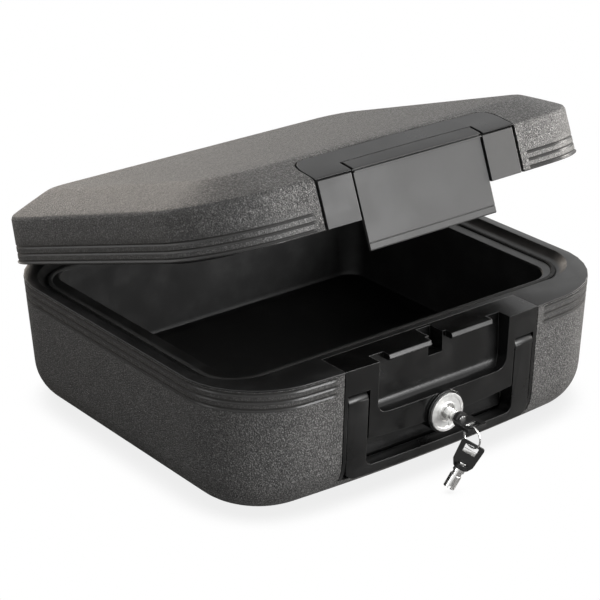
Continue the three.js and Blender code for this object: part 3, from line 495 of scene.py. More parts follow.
@dataclass(frozen=True)
class CastFiller(Finish):
    """Pale cast filler, chalky and full of small pores."""

    name: str = "cast_filler"
    body: Triple = grey(196, 4.0)
    pore: Triple = grey(150, 5.0)
    pore_scale: float = 420.0
    pore_depth: float = 0.0003
    roughness: float = 0.92

    def dress(self, look: Surface) -> None:
        """Pores from cells, and a chalky surface.

        Args:
            look: the material's tree.
        """
        pores = look.cells(self.pore_scale)
        colour = look.mix(look.ramp(pores, 0.3, 0.08), self.body, self.pore)
        look.finish(Base_Color=colour, Roughness=self.roughness)
        look.bump(pores, 0.6, self.pore_depth)


SHELL = GrainedPlastic()
LID_SHELL = GrainedPlastic("grained_plastic_lid", mottle=0.6)
TRIM = MouldedPlastic("trim_black", grey(20), grey(78), 0.3)
FLAP = MouldedPlastic("flap_satin", grey(54), grey(100), 0.42)
PANEL = MouldedPlastic("panel_satin", grey(20), grey(88), 0.2)
LINER = MouldedPlastic("liner_black", grey(26), grey(112), 0.4)
KEY_HEAD = MouldedPlastic("key_head", grey(24), grey(48), 0.46, edge=0.0004)
BRIGHT = PolishedMetal()
SATIN = PolishedMetal("satin_metal", (0.93, 0.93, 0.92), (0.86, 0.86, 0.85), 0.36)
ZINC = PolishedMetal("zinc_plate", (0.52, 0.52, 0.51), (0.34, 0.34, 0.33), 0.34)
RUBBER = SoftRubber()
FILLER = CastFiller()


def new_object(name: str, mesh: bpy.types.Mesh) -> bpy.types.Object:
    """Links a new object at the origin.

    Args:
        name: the piece's name.
        mesh: its mesh.

    Returns:
        The object.
    """
    made = bpy.data.objects.new(name, mesh)
    bpy.context.scene.collection.objects.link(made)
    return made


def as_mesh(name: str, work: bmesh.types.BMesh) -> bpy.types.Mesh:
    """Turns a mesh under work into a mesh block, and frees it.

    Args:
        name: the block's name.
        work: the mesh under work.

    Returns:
        The mesh block.
    """
    mesh = bpy.data.meshes.new(name)
    work.to_mesh(mesh)
    work.free()
    return mesh


def shade(work: bmesh.types.BMesh) -> None:
    """Shades a mesh smooth, but for its sharp edges.

    Args:
        work: the mesh.
    """
    for face in work.faces:
        face.smooth = True
    for edge in work.edges:
        edge.smooth = len(edge.link_faces) == 2 and edge.calc_face_angle(0.0) < SHARP


class Piece:
    """Makes pieces from nodes, dresses them, and hangs them on their bodies."""

    @staticmethod
    def settle(
        made: bpy.types.Object, finish: Finish, body: Body, slot: Slot, *nodes: str
    ) -> bpy.types.Object:
        """Gives a piece its finish and body, and hides the nodes that it stands for.

        Args:
            made: the piece.
            finish: its finish.
            body: the body that it rides on.
            slot: its material slot in the record; not used.
            *nodes: the CAD nodes that it stands for.

        Returns:
            The piece.
        """
        made.data.materials.clear()
        made.data.materials.append(finish.material())
        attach(made, body.value)
        if nodes:
            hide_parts(*nodes)
        LOG.info("%s: %d faces on %s", made.name, len(made.data.polygons), body.value)
        return made

    @staticmethod
    def eased(node: str, radius: float = 0.0) -> bmesh.types.BMesh:
        """A merged copy of a CAD node, with its sharp edges rounded.

        Args:
            node: the CAD node.
            radius: how far the edges are rounded, or 0 to leave them.

        Returns:
            The copy, under work.
        """
        work = bmesh.new()
        work.from_mesh(bpy.data.objects[node].data)
        bmesh.ops.remove_doubles(work, verts=work.verts, dist=0.002 * MM)
        bmesh.ops.dissolve_limit(
            work, angle_limit=math.radians(0.4), verts=work.verts, edges=work.edges,
            delimit=set(),
        )
        if radius:
            sharp = [edge for edge in work.edges if edge.calc_face_angle(0.0) > SHARP]
            bmesh.ops.bevel(
                work, geom=sharp, offset=radius, segments=2, profile=0.6, affect="EDGES",
                clamp_overlap=True, loop_slide=True,
            )
        shade(work)
        return work

    @classmethod
    def carry(
        cls, node: str, ending: str, finish: Finish, body: Body, slot: Slot, radius: float = 0.0
    ) -> bpy.types.Object:
        """Makes a piece from a CAD node, and settles it.

        Args:
            node: the CAD node.
            ending: what the piece's name has after the node's.
            finish: its finish.
            body: the body that it rides on.
            slot: its material slot in the record.
            radius: how far its sharp edges are rounded.

        Returns:
            The piece.
        """
        name = f"{node}_{ending}"
        made = new_object(name, as_mesh(name, cls.eased(node, radius)))
        return cls.settle(made, finish, body, slot, node)


class Growth:
    """A geometry tree with named inputs, grown once into a plain mesh."""

    def __init__(self, name: str) -> None:
        """Starts a tree with a geometry input and output.

        Args:
            name: the tree's name.
        """
        self.tree = bpy.data.node_groups.new(name, "GeometryNodeTree")
        self.nodes = Nodes(self.tree)
        self.values: dict[str, object] = {}
        for way in ("OUTPUT", "INPUT"):
            self.tree.interface.new_socket(
                "Geometry", in_out=way, socket_type="NodeSocketGeometry"
            )
        self.start = self.nodes.add("NodeGroupInput")

    def take(self, name: str, value: object, kind: str = "NodeSocketFloat") -> Socket:
        """Adds a named input.

        Args:
            name: its name.
            value: what it is set to.
            kind: its socket type.

        Returns:
            The socket that carries it in the tree.
        """
        made = self.tree.interface.new_socket(name, in_out="INPUT", socket_type=kind)
        self.values[made.identifier] = value
        return self.start.outputs[name]

    def node(self, kind: str, inputs: Optional[dict] = None) -> Socket:
        """Adds a node and returns its first output."""
        return self.nodes.add(kind, inputs).outputs[0]

    def upright(self, height: Value) -> Socket:
        """A vector that points up by a height."""
        return self.node("ShaderNodeCombineXYZ", {"Z": height})

    def rod(
        self, radius: Value, depth: Value, steps: int, at: Union[Triple, Socket] = (0, 0, 0)
    ) -> Socket:
        """An upright rod.

        Args:
            radius: its radius, a value or a socket.
            depth: its length, a value or a socket.
            steps: its sides.
            at: its middle, a vector or a socket.

        Returns:
            The rod's geometry.
        """
        sizes = {"Vertices": steps, "Radius": radius, "Depth": depth}
        return self.move(self.node("GeometryNodeMeshCylinder", sizes), at)

    def move(
        self, solid: Socket, by: Union[Triple, Socket], turn: Triple = (0.0, 0.0, 0.0)
    ) -> Socket:
        """Turns a geometry about the origin and moves it.

        Args:
            solid: the geometry.
            by: the move, a vector or a socket.
            turn: the turn about X, Y and Z.

        Returns:
            The moved geometry.
        """
        inputs = {"Geometry": solid, "Translation": by, "Rotation": turn}
        return self.node("GeometryNodeTransform", inputs)

    def combine(
        self, operation: str, solids: Sequence[Socket], start: Optional[Socket] = None
    ) -> Socket:
        """Joins solids, or cuts them out of another.

        Args:
            operation: UNION or DIFFERENCE.
            solids: what is joined or cut out.
            start: what it is cut out of.

        Returns:
            The result's geometry.
        """
        kind = "GeometryNodeMeshBoolean"
        node = self.nodes.add(kind, operation=operation, solver="EXACT")
        if start is not None:
            self.nodes.feed(node.inputs["Mesh 1"], start)
        for solid in solids:
            self.nodes.feed(node.inputs["Mesh 2"], solid)
        return node.outputs[0]

    def grow(
        self, name: str, result: Socket, finish: Finish, points: Sequence[Vector]
    ) -> bpy.types.Object:
        """Ends the tree, runs it on some points and keeps the plain mesh.

        Args:
            name: the piece's name.
            result: the geometry that comes out.
            finish: the finish that the tree sets.
            points: the points that go in.

        Returns:
            The piece, with no modifier left on it.
        """
        stuff = self.take("Finish", finish.material(), "NodeSocketMaterial")
        real = self.node("GeometryNodeRealizeInstances", {"Geometry": result})
        dressed = self.node("GeometryNodeSetMaterial", {"Geometry": real, "Material": stuff})
        self.nodes.add("NodeGroupOutput", {0: dressed})
        seed = bpy.data.meshes.new(name + "_seed")
        seed.from_pydata([tuple(point) for point in points], [], [])
        rough = new_object(name + "_rough", seed)
        change = rough.modifiers.new("growth", "NODES")
        change.node_group = self.tree
        for identifier, value in self.values.items():
            change[identifier] = value
        graph = bpy.context.evaluated_depsgraph_get()
        mesh = bpy.data.meshes.new_from_object(rough.evaluated_get(graph))
        bpy.data.objects.remove(rough)
        work = bmesh.new()
        work.from_mesh(mesh)
        bmesh.ops.remove_doubles(work, verts=work.verts, dist=0.001 * MM)
        bmesh.ops.recalc_face_normals(work, faces=work.faces)
        shade(work)
        return new_object(name, as_mesh(name, work))


@dataclass
class Screws:
    """Pan-head screws with a cross recess, grown on points."""

    head_radius: float = 3 * MM
    rim_height: float = 0.605 * MM
    crown_radius: float = 2.52 * MM
    crown_height: float = 0.495 * MM
    shank_radius: float = 1.6 * MM
    shank_length: float = 2.6 * MM
    slot_length: float = 3.8 * MM
    slot_width: float = 0.84 * MM
    slot_height: float = 1.3 * MM

    def grow(self, name: str, places: Sequence[Vector], turn: float) -> bpy.types.Object:
        """Grows one screw on each place.

        Args:
            name: the piece's name.
            places: where the heads' undersides lie.
            turn: how far the screws, heads up, are turned about X, in radians.

        Returns:
            The screws as one piece.
        """
        tree = Growth(name + "_tree")
        size = {part.name: tree.take(part.name, getattr(self, part.name)) for part in fields(self)}
        half = {
            key: tree.nodes.math("MULTIPLY", size[key], share)
            for key, share in (("rim_height", 0.5), ("shank_length", -0.5))
        }
        rim = tree.rod(
            size["head_radius"], size["rim_height"], 28, tree.upright(half["rim_height"])
        )
        shank = tree.rod(
            size["shank_radius"], size["shank_length"], 16, tree.upright(half["shank_length"])
        )
        cone = {
            "Vertices": 28, "Radius Bottom": size["head_radius"],
            "Radius Top": size["crown_radius"], "Depth": size["crown_height"],
        }
        crown = tree.node("GeometryNodeMeshCone", cone)
        crown = tree.move(crown, tree.upright(size["rim_height"]))
        top = tree.upright(tree.nodes.math("ADD", size["rim_height"], size["crown_height"]))
        slots = []
        for x, y in (("slot_length", "slot_width"), ("slot_width", "slot_length")):
            box = {"X": size[x], "Y": size[y], "Z": size["slot_height"]}
            cube = {"Size": tree.node("ShaderNodeCombineXYZ", box)}
            slots.append(tree.move(tree.node("GeometryNodeMeshCube", cube), top))
        whole = tree.combine("UNION", [rim, crown, shank])
        cut = tree.combine("DIFFERENCE", slots, whole)
        spin = tree.node("ShaderNodeCombineXYZ", {"X": tree.take("turn", turn)})
        points = tree.start.outputs["Geometry"]
        inputs = {"Points": points, "Instance": cut, "Rotation": spin}
        spread = tree.node("GeometryNodeInstanceOnPoints", inputs)
        return tree.grow(name, spread, ZINC, places)


@dataclass(frozen=True)
class PlanOutline:
    """The chest's outline in plan: a bowed front, straight sides and back, round corners."""

    width: float = 391 * MM
    depth: float = 338.6 * MM
    bow: float = 10.9 * MM
    corner: float = 64.3 * MM
    corner_steps: int = 20
    front_steps: int = 104
    side_steps: int = 6

    def points(self, inset: float) -> np.ndarray:
        """The outline moved inwards.

        Args:
            inset: how far in.

        Returns:
            Points in plan, anticlockwise from the front's left end.
        """
        half, far, radius = self.width / 2 - inset, self.depth / 2 - inset, self.corner - inset
        reach = half - radius
        line = np.linspace(-reach, reach, self.front_steps + 1)
        quarter = np.linspace(0, math.pi / 2, self.corner_steps + 1)
        arcs = []
        for index, (sign_x, sign_y) in enumerate(((1, -1), (1, 1), (-1, 1), (-1, -1))):
            centre = np.array([sign_x * reach, sign_y * (far - radius)])
            turn = (index - 1) * math.pi / 2 + quarter
            arcs.append(centre + radius * np.stack([np.cos(turn), np.sin(turn)], 1))
        share = np.linspace(0, 1, self.side_steps + 1)[1:-1, None]
        rows = [np.stack([line, np.full_like(line, -far)], 1), arcs[0][1:]]
        for before, after in zip(arcs, arcs[1:]):
            rows += [before[-1] * (1 - share) + after[0] * share, after]
        plan = np.concatenate(rows)[:-1]
        bowed = plan[:, 1] < -MM
        plan[bowed, 1] -= self.bow * (1 - (2 * plan[bowed, 0] / self.width) ** 2)
        return plan


class Level(NamedTuple):
    """One ring of a shell: its height, how far in it stands, its groove and its smoothness."""

    z: float
    inset: float
    groove: float = 0.0
    sleek: float = 0.0


Profile = list[Level]


@dataclass
class ShellForm:
    """A shell's surface: rings of the plan outline at heights, with reeds cut round it.

    The lip of a reed lists how far below its middle each ring lies, in halves of the reed,
    and how much of its depth is cut there.
    """

    plan: PlanOutline = field(default_factory=PlanOutline)
    front: float = -140 * MM
    reed_stop: float = 103 * MM
    reed_run: float = 1.6 * MM
    reed_depth: float = 0.58 * MM
    reed_half: float = 1.6 * MM
    reed_lip: tuple[tuple[float, float], ...] = (
        (-1.14, 0.01), (-1.06, 0.02), (-0.98, 0.05), (-0.84, 0.16), (-0.12, 0.92)
    )
    sleek_gain: float = 50.0

    def ring(self, level: Level) -> tuple[np.ndarray, np.ndarray]:
        """One ring of the surface.

        Args:
            level: its height, inset, groove and smoothness.

        Returns:
            Its points in space, and how smooth the surface is at each.
        """
        plan = self.plan.points(level.inset)
        sleek = np.full(len(plan), level.sleek)
        if level.groove > 0:
            deep = self.plan.points(level.inset + level.groove)
            across = (np.abs(plan[:, 0]) - self.reed_stop) / self.reed_run
            share = np.where(plan[:, 1] < self.front, np.clip(across, 0, 1), 1.0)
            share = share * share * (3 - 2 * share)
            plan = plan * (1 - share)[:, None] + deep * share[:, None]
            smooth = min(1.0, self.sleek_gain * level.groove / self.reed_depth)
            sleek = np.maximum(sleek, share * smooth)
        return np.column_stack([plan, np.full(len(plan), level.z)]), sleek

    def grooves(self, centres: Sequence[float], inset: Callable[[float], float]) -> Profile:
        """The profile's points through each groove: eased lips and a round bottom.

        Args:
            centres: the grooves' heights.
            inset: the wall's inset at a height.

        Returns:
            The levels.
        """
        upper = ((-t, d) for t, d in reversed(self.reed_lip))
        section = [*self.reed_lip, (0.0, 1.0), *upper]
        return [
            Level(z + t * self.reed_half, inset(z + t * self.reed_half), d * self.reed_depth)
            for z in centres
            for t, d in section
        ]

    def skin(self, outside: Profile, inside: Profile) -> bmesh.types.BMesh:
        """A walled shell through an outer and an inner profile.

        Args:
            outside: the outer profile, from the closed end to the rim.
            inside: the inner profile, from the rim to the closed end.

        Returns:
            The shell's mesh, with how smooth its surface is at each point.
        """
        work = bmesh.new()
        layer = work.verts.layers.float.new("sleek")
        rings = []
        for level in [*outside, *inside]:
            places, sleek = self.ring(level)
            rings.append([work.verts.new(p) for p in places])
            for vert, value in zip(rings[-1], sleek):
                vert[layer] = value
        count = len(rings[0])
        for low, high in zip(rings, rings[1:]):
            for i in range(count):
                j = (i + 1) % count
                work.faces.new((low[i], low[j], high[j], high[i]))
        work.faces.new(list(reversed(rings[0])))
        work.faces.new(rings[-1])
        bmesh.ops.recalc_face_normals(work, faces=work.faces)
        bmesh.ops.triangulate(work, faces=[f for f in work.faces if len(f.verts) > 4])
        return work


def rounded(profile: Profile, passes: int = 2) -> Profile:
    """Rounds a profile's corners by cutting them, its ends kept.

    Args:
        profile: the levels to round.
        passes: how often the corners are cut.

    Returns:
        The rounded profile.
    """
    points = [np.array(p) for p in profile]
    for _ in range(passes):
        cut = [points[0]]
        for a, b in zip(points, points[1:]):
            cut += [a * 0.75 + b * 0.25, a * 0.25 + b * 0.75]
        points = [*cut, points[-1]]
    return [Level(*p) for p in points]


def block(low: Sequence[float], high: Sequence[float]) -> bpy.types.Object:
    """A box for cutting, in the frame.

    Args:
        low: its lowest corner.
        high: its highest corner.

    Returns:
        The box's object, not linked to the scene.
    """
    work = bmesh.new()
    bmesh.ops.create_cube(work, size=1.0)
    size, centre = Vector(high) - Vector(low), (Vector(high) + Vector(low)) / 2
    placed = Matrix.Translation(centre) @ Matrix.Diagonal((*size, 1))
    bmesh.ops.transform(work, matrix=placed, verts=work.verts)
    return bpy.data.objects.new("cutter", as_mesh("cutter", work))


def prism(plan: Sequence[tuple[float, float]], low: float, high: float) -> bpy.types.Object:
    """An upright prism for cutting.

    Args:
        plan: its outline in plan, anticlockwise.
        low: its lower height.
        high: its upper height.

    Returns:
        The prism's object, not linked to the scene.
    """
    work = bmesh.new()
    under = [work.verts.new((x, y, low)) for x, y in plan]
    over = [work.verts.new((x, y, high)) for x, y in plan]
    work.faces.new(list(reversed(under)))
    work.faces.new(over)
    for i in range(len(plan)):
        j = (i + 1) % len(plan)
        work.faces.new((under[i], under[j], over[j], over[i]))
    return bpy.data.objects.new("cutter", as_mesh("cutter", work))


def carve(
    name: str,
    work: bmesh.types.BMesh,
    cutters: Sequence[bpy.types.Object],
    turn: Optional[Matrix] = None,
) -> bpy.types.Object:
    """Cuts boxes and prisms out of a mesh and links what is left as a piece.

    Args:
        name: the piece's name.
        work: the mesh, which is freed.
        cutters: what is taken out.
        turn: where the result is put, if not where it was built.

    Returns:
        The piece.
    """
    rough = new_object(name + "_rough", as_mesh(name + "_rough", work))
    for cutter in cutters:
        bpy.context.scene.collection.objects.link(cutter)
        change = rough.modifiers.new("cut", "BOOLEAN")
        change.operation, change.solver, change.object = "DIFFERENCE", "EXACT", cutter
    graph = bpy.context.evaluated_depsgraph_get()
    finished = bmesh.new()
    finished.from_mesh(bpy.data.meshes.new_from_object(rough.evaluated_get(graph)))
    for used in [rough, *cutters]:
        bpy.data.objects.remove(used)
    bmesh.ops.remove_doubles(finished, verts=finished.verts, dist=0.001 * MM)
    if turn is not None:
        bmesh.ops.transform(finished, matrix=turn, verts=finished.verts)
    shade(finished)
    return new_object(name, as_mesh(name, finished))


@dataclass
class Base:
    """The lower half: shell, liner, seal, front insert and what is fixed in it."""

    form: ShellForm = field(default_factory=ShellForm)
    rim: float = 113.1 * MM
    draft: float = 6.85 * MM
    foot: float = 34.8 * MM
    foot_steps: int = 14
    wall: float = 3 * MM
    flange: float = 1.3 * MM
    seam: float = 0.4 * MM
    edge: float = 0.3 * MM
    reed_drop: float = 2.6 * MM
    reed_pitch: float = 6.45 * MM
    wall_low: float = 50 * MM
    opening_half: float = 98 * MM
    opening_back: float = -148.2 * MM
    opening_low: float = 16.6 * MM
    bracket_x: float = 110 * MM
    bracket_half: float = 13.99 * MM
    bracket_front: float = 156.9 * MM
    bracket_low: float = 91.9 * MM
    strike_height: float = 5.4 * MM
    strike_nose: float = -174.4 * MM
    strike_face: float = 3.2 * MM
    strike_lean: float = 21.0
    strike_x: float = 31.25 * MM
    strike_half: float = 26 * MM
    strike_clear: float = 20 * MM

    def inset(self, z: float, wall: float = 0.0) -> float:
        """How far in the wall stands at a height.

        Args:
            z: the height.
            wall: how far inside the outer surface.

        Returns:
            The inset.
        """
        radius, rise = self.foot - wall, self.foot - z
        turn = radius - math.sqrt(max(radius**2 - rise**2, 0.0)) if rise > 0 else 0.0
        return wall + self.draft * (1 - z / self.rim) + turn

    def profile(self, wall: float, top: float, steps: int) -> Profile:
        """The rounded foot and the wall, from the bottom up.

        Args:
            wall: how far inside the outer surface.
            top: the rim's height.
            steps: rings in the foot's rounding.

        Returns:
            The profile.
        """
        radius = self.foot - wall
        heights = [self.foot - radius * math.cos(t) for t in np.linspace(0, math.pi / 2, steps)]
        return [Level(z, self.inset(z, wall)) for z in [*heights, top]]

    def shell(self) -> bpy.types.Object:
        """The grained outer shell, with its reeds and openings.

        Returns:
            The shell.
        """
        top = self.rim - self.flange - self.seam
        reeds = [top + self.seam - self.reed_drop - i * self.reed_pitch for i in (2, 1, 0)]
        plain = np.linspace(self.wall_low, reeds[0] - 4 * MM, 5)
        outside = [
            *self.profile(0.0, top, self.foot_steps)[:-1],
            *(Level(z, self.inset(z)) for z in plain),
            *self.form.grooves(reeds, self.inset),
            Level(top - self.edge, self.inset(top)),
            Level(top, self.inset(top) + self.edge),
        ]
        inside = list(reversed(self.profile(self.wall, top, 6)))
        half = self.opening_half
        cutters = [
            block((-half, -BEYOND, self.opening_low), (half, self.opening_back, BEYOND))
        ]
        for _, side in SIDES:
            x, half = side * self.bracket_x, self.bracket_half
            low = (x - half, self.bracket_front, self.bracket_low)
            cutters.append(block(low, (x + half, BEYOND, BEYOND)))
        made = carve("base_shell_grained", self.form.skin(outside, inside), cutters)
        return Piece.settle(made, SHELL, Body.BASE, Slot.SHELL, "base_shell")

    def insert(self) -> bpy.types.Object:
        """The front insert, its strike noses cut to flat faces that lean back.

        Returns:
            The insert.
        """
        radius, clear = self.strike_height / 2, self.strike_clear
        lean = Matrix.Rotation(-math.radians(self.strike_lean), 4, "X")
        depth = math.sqrt(radius**2 - (self.strike_face / 2) ** 2)
        cutters = []
        for _, side in SIDES:
            tool = block((-self.strike_half, -clear, -clear), (self.strike_half, -depth, clear))
            place = (side * self.strike_x, self.strike_nose + radius, self.rim - radius)
            tool.data.transform(Matrix.Translation(place) @ lean)
            cutters.append(tool)
        made = carve("front_insert_moulding", Piece.eased("front_insert"), cutters)
        return Piece.settle(made, PANEL, Body.BASE, Slot.TRIM, "front_insert")

    def build(self) -> None:
        """Builds and dresses the lower half."""
        self.shell()
        self.insert()
        Piece.carry("base_liner", "moulding", LINER, Body.BASE, Slot.LINER)
        Piece.carry("rim_seal", "moulding", RUBBER, Body.BASE, Slot.SEAL)


@dataclass
class Lid:
    """The upper half, built shut and turned open about its hinge.

    The lip's section lists heights above the bottom and insets from the overhang. The
    shoulder's lists depths below the shoulder and insets from the wall. The slope starts
    above the shoulder and inside the wall's top. The top's section lists heights from the
    crown and insets from its edge.
    """

    form: ShellForm = field(default_factory=lambda: ShellForm(reed_half=1.15 * MM))
    bottom: float = 113.5 * MM
    overhang: float = 0.85 * MM
    lip: float = 1 * MM
    lip_section: tuple[tuple[float, float], ...] = (
        (0.0, 0.6 * MM), (0.22 * MM, 0.16 * MM), (0.6 * MM, 0.0), (0.9 * MM, 0.05 * MM)
    )
    lip_end: float = 0.02 * MM
    reed_clear: float = 0.05 * MM
    shoulder_section: tuple[tuple[float, float], ...] = ((2.9 * MM, 0.0), (0.8 * MM, 0.8 * MM))
    slope_start: tuple[float, float] = (0.7 * MM, 2.4 * MM)
    top_section: tuple[tuple[float, float], ...] = ((-1.6 * MM, -4.4 * MM), (0.0, 0.8 * MM))
    top_flat: float = 8 * MM
    wall_rings: tuple[float, float] = (137 * MM, 144 * MM)
    wall_top: float = 152.2 * MM
    wall_inset: float = 1.9 * MM
    top: float = 168 * MM
    top_inset: float = 38.2 * MM
    crown: float = 0.5 * MM
    wall: float = 3 * MM
    reed_rise: float = 1.25 * MM
    reed_pitch: float = 5.85 * MM
    opened: float = 18.2
    hinge: tuple[float, float] = (165.3 * MM, 99.1 * MM)
    bezel_half: float = 98.2 * MM
    bezel_back: float = -146.4 * MM
    bezel_corner: float = 10 * MM
    bezel_low: float = 140 * MM
    recess_back: float = -150 * MM
    recess_top: float = 153.7 * MM
    leaf_x: float = 110 * MM
    leaf_half: float = 9.3 * MM
    leaf_front: float = 148 * MM
    leaf_top: float = 117.6 * MM
    cheek_inner: float = 65.5 * MM
    cheek_reach: tuple[float, float] = (0.3 * MM, 1.7 * MM)

    def inset(self, z: float) -> float:
        """The wall's inset at a height."""
        return self.wall_inset * (z - self.bottom) / (self.wall_top - self.bottom)

    def turned(self) -> Matrix:
        """The move from the shut place to the open one.

        Returns:
            The turn about the hinge.
        """
        at = Matrix.Translation((0, *self.hinge))
        return at @ Matrix.Rotation(-math.radians(self.opened), 4, "X") @ at.inverted()

    def crown_profile(self, wall: float) -> Profile:
        """The shoulder and the sloping crown up to the flat top.

        Args:
            wall: how far inside the outer surface.

        Returns:
            The profile.
        """
        slope = math.atan2(self.top - self.wall_top, self.top_inset - self.wall_inset)
        shoulder = self.wall_top - wall * math.tan(slope / 2 + math.pi / 8) * 0.7
        run, top = self.top_inset + wall * 0.4, self.top - wall
        corner = [(shoulder - down, step) for down, step in self.shoulder_section]
        rise, step_in = self.slope_start
        return [
            *(Level(z, wall + self.inset(z) + step) for z, step in corner),
            Level(shoulder + rise, wall + self.wall_inset + step_in),
            *(Level(top - self.crown + up, run + step) for up, step in self.top_section),
            Level(top, self.form.plan.corner - self.top_flat),
        ]

    def outside(self) -> Profile:
        """The outer profile: the lip, the reeds, the wall, the shoulder and the crown.

        Returns:
            The profile, from the bottom up.
        """
        start = self.bottom + self.lip
        reeds = [start + self.reed_rise + i * self.reed_pitch for i in range(3)]
        grooves = self.form.grooves(reeds, self.inset)
        return [
            *(Level(self.bottom + z, t - self.overhang, 0.0, 1.0) for z, t in self.lip_section),
            Level(start + self.lip_end, self.lip_end, 0.0, 0.6),
            *(level for level in grooves if level.z > start + self.reed_clear),
            *(Level(z, self.inset(z)) for z in self.wall_rings),
            *rounded(self.crown_profile(0.0)),
        ]

    def shell(self) -> bpy.types.Object:
        """The grained lid shell with its lip, reeds, shoulder and crown.

        Returns:
            The shell.
        """
        inside = [Level(self.bottom, self.wall), *rounded(self.crown_profile(self.wall), 1)]
        work = self.form.skin(list(reversed(self.outside())), inside)
        half, corner = self.bezel_half, self.bezel_corner_curve()
        plan = [(-half, -BEYOND), (half, -BEYOND), *corner]
        plan += [(-x, y) for x, y in reversed(corner)]
        cutters = [
            prism(plan, self.bezel_low, BEYOND),
            block((-half, -BEYOND, 0.0), (half, self.recess_back, self.recess_top)),
        ]
        for _, side in SIDES:
            x, half = side * self.leaf_x, self.leaf_half
            low, high = (x - half, self.leaf_front, 0.0), (x + half, BEYOND, self.leaf_top)
            cutters.append(block(low, high))
        made = carve("lid_shell_grained", work, cutters, self.turned())
        return Piece.settle(made, LID_SHELL, Body.LID, Slot.SHELL, "lid_shell")

    def bezel_corner_curve(self) -> list[tuple[float, float]]:
        """The curved right corner of the bezel's opening, in plan.

        Returns:
            Points from the side to the rear edge.
        """
        half, back, corner = self.bezel_half, self.bezel_back, self.bezel_corner
        start, knee = Vector((half, back - corner * 1.5)), Vector((half, back))
        end = Vector((half - corner * 1.3, back))
        return [
            tuple(start * (1 - t) ** 2 + knee * 2 * t * (1 - t) + end * t**2)
            for t in np.linspace(0, 1, 17)
        ]

    def widen(self, cheek: bpy.types.Object) -> None:
        """Draws a cheek's inner side, so that an even seam is left beside the flap.

        Args:
            cheek: the cheek panel.
        """
        left, right = self.cheek_reach
        for vert in cheek.data.vertices:
            if abs(vert.co.x) < self.cheek_inner + 0.1 * MM:
                vert.co.x += left if vert.co.x < 0 else -right

    def build(self) -> None:
        """Builds and dresses the upper half."""
        self.shell()
        Piece.carry("lid_liner", "moulding", LINER, Body.LID, Slot.LINER)
        Piece.carry("lid_bezel", "moulding", TRIM, Body.LID, Slot.TRIM)
        for side, _ in SIDES:
            cheek = f"lid_cheek_{side}"
            self.widen(Piece.carry(cheek, "moulding", FLAP, Body.LID, Slot.TRIM))
        Piece.carry("latch_pin", "moulding", ZINC, Body.LID, Slot.ZINC)
        Piece.carry("latch_flap", "moulding", FLAP, Body.LATCH, Slot.TRIM)


@dataclass
class Handle:
    """The carry handle and its two pivot pins."""

    edge: float = 0.9 * MM

    def build(self) -> None:
        """Builds and dresses the handle."""
        Piece.carry("handle", "moulding", TRIM, Body.HANDLE, Slot.TRIM, self.edge)
        for side, _ in SIDES:
            Piece.carry(f"handle_pin_{side}", "turned", ZINC, Body.BASE, Slot.ZINC)


@dataclass
class Lock:
    """The lock's body, its turning core and the cam behind it."""

    pin_count: int = 7
    pin_ring: float = 3.93 * MM
    pin_radius: float = 0.5 * MM
    pin_length: float = 0.25 * MM
    pin_middle: Triple = (0.0, -175.18 * MM, 51.41 * MM)

    def build(self) -> None:
        """Builds and dresses the lock."""
        for node, finish, body, slot in (
            ("lock_body", SATIN, Body.BASE, Slot.BRIGHT),
            ("lock_nut", ZINC, Body.BASE, Slot.ZINC),
            ("lock_plug", BRIGHT, Body.LOCK, Slot.BRIGHT),
            ("lock_cam", ZINC, Body.LOCK, Slot.ZINC),
            ("cam_screw", ZINC, Body.LOCK, Slot.ZINC),
        ):
            Piece.carry(node, "turned", finish, body, slot)
        Piece.settle(self.pins(), BRIGHT, Body.LOCK, Slot.BRIGHT)

    def pins(self) -> bpy.types.Object:
        """The round pins in a ring at the bottom of the key's channel.

        Returns:
            The pins as one piece.
        """
        tree = Growth("lock_pins_tree")
        count = tree.take("pin_count", self.pin_count, "NodeSocketInt")
        circle = tree.take("pin_ring", self.pin_ring)
        radius = tree.take("pin_radius", self.pin_radius)
        length = tree.take("pin_length", self.pin_length)
        middle = tree.take("pin_middle", self.pin_middle, "NodeSocketVector")
        ring = tree.node("GeometryNodeMeshCircle", {"Vertices": count, "Radius": circle})
        pin = tree.rod(radius, length, 16)
        spread = tree.node("GeometryNodeInstanceOnPoints", {"Points": ring, "Instance": pin})
        placed = tree.move(spread, middle, (math.pi / 2, 0.0, 0.0))
        return tree.grow("lock_pins", placed, BRIGHT, [Vector()])


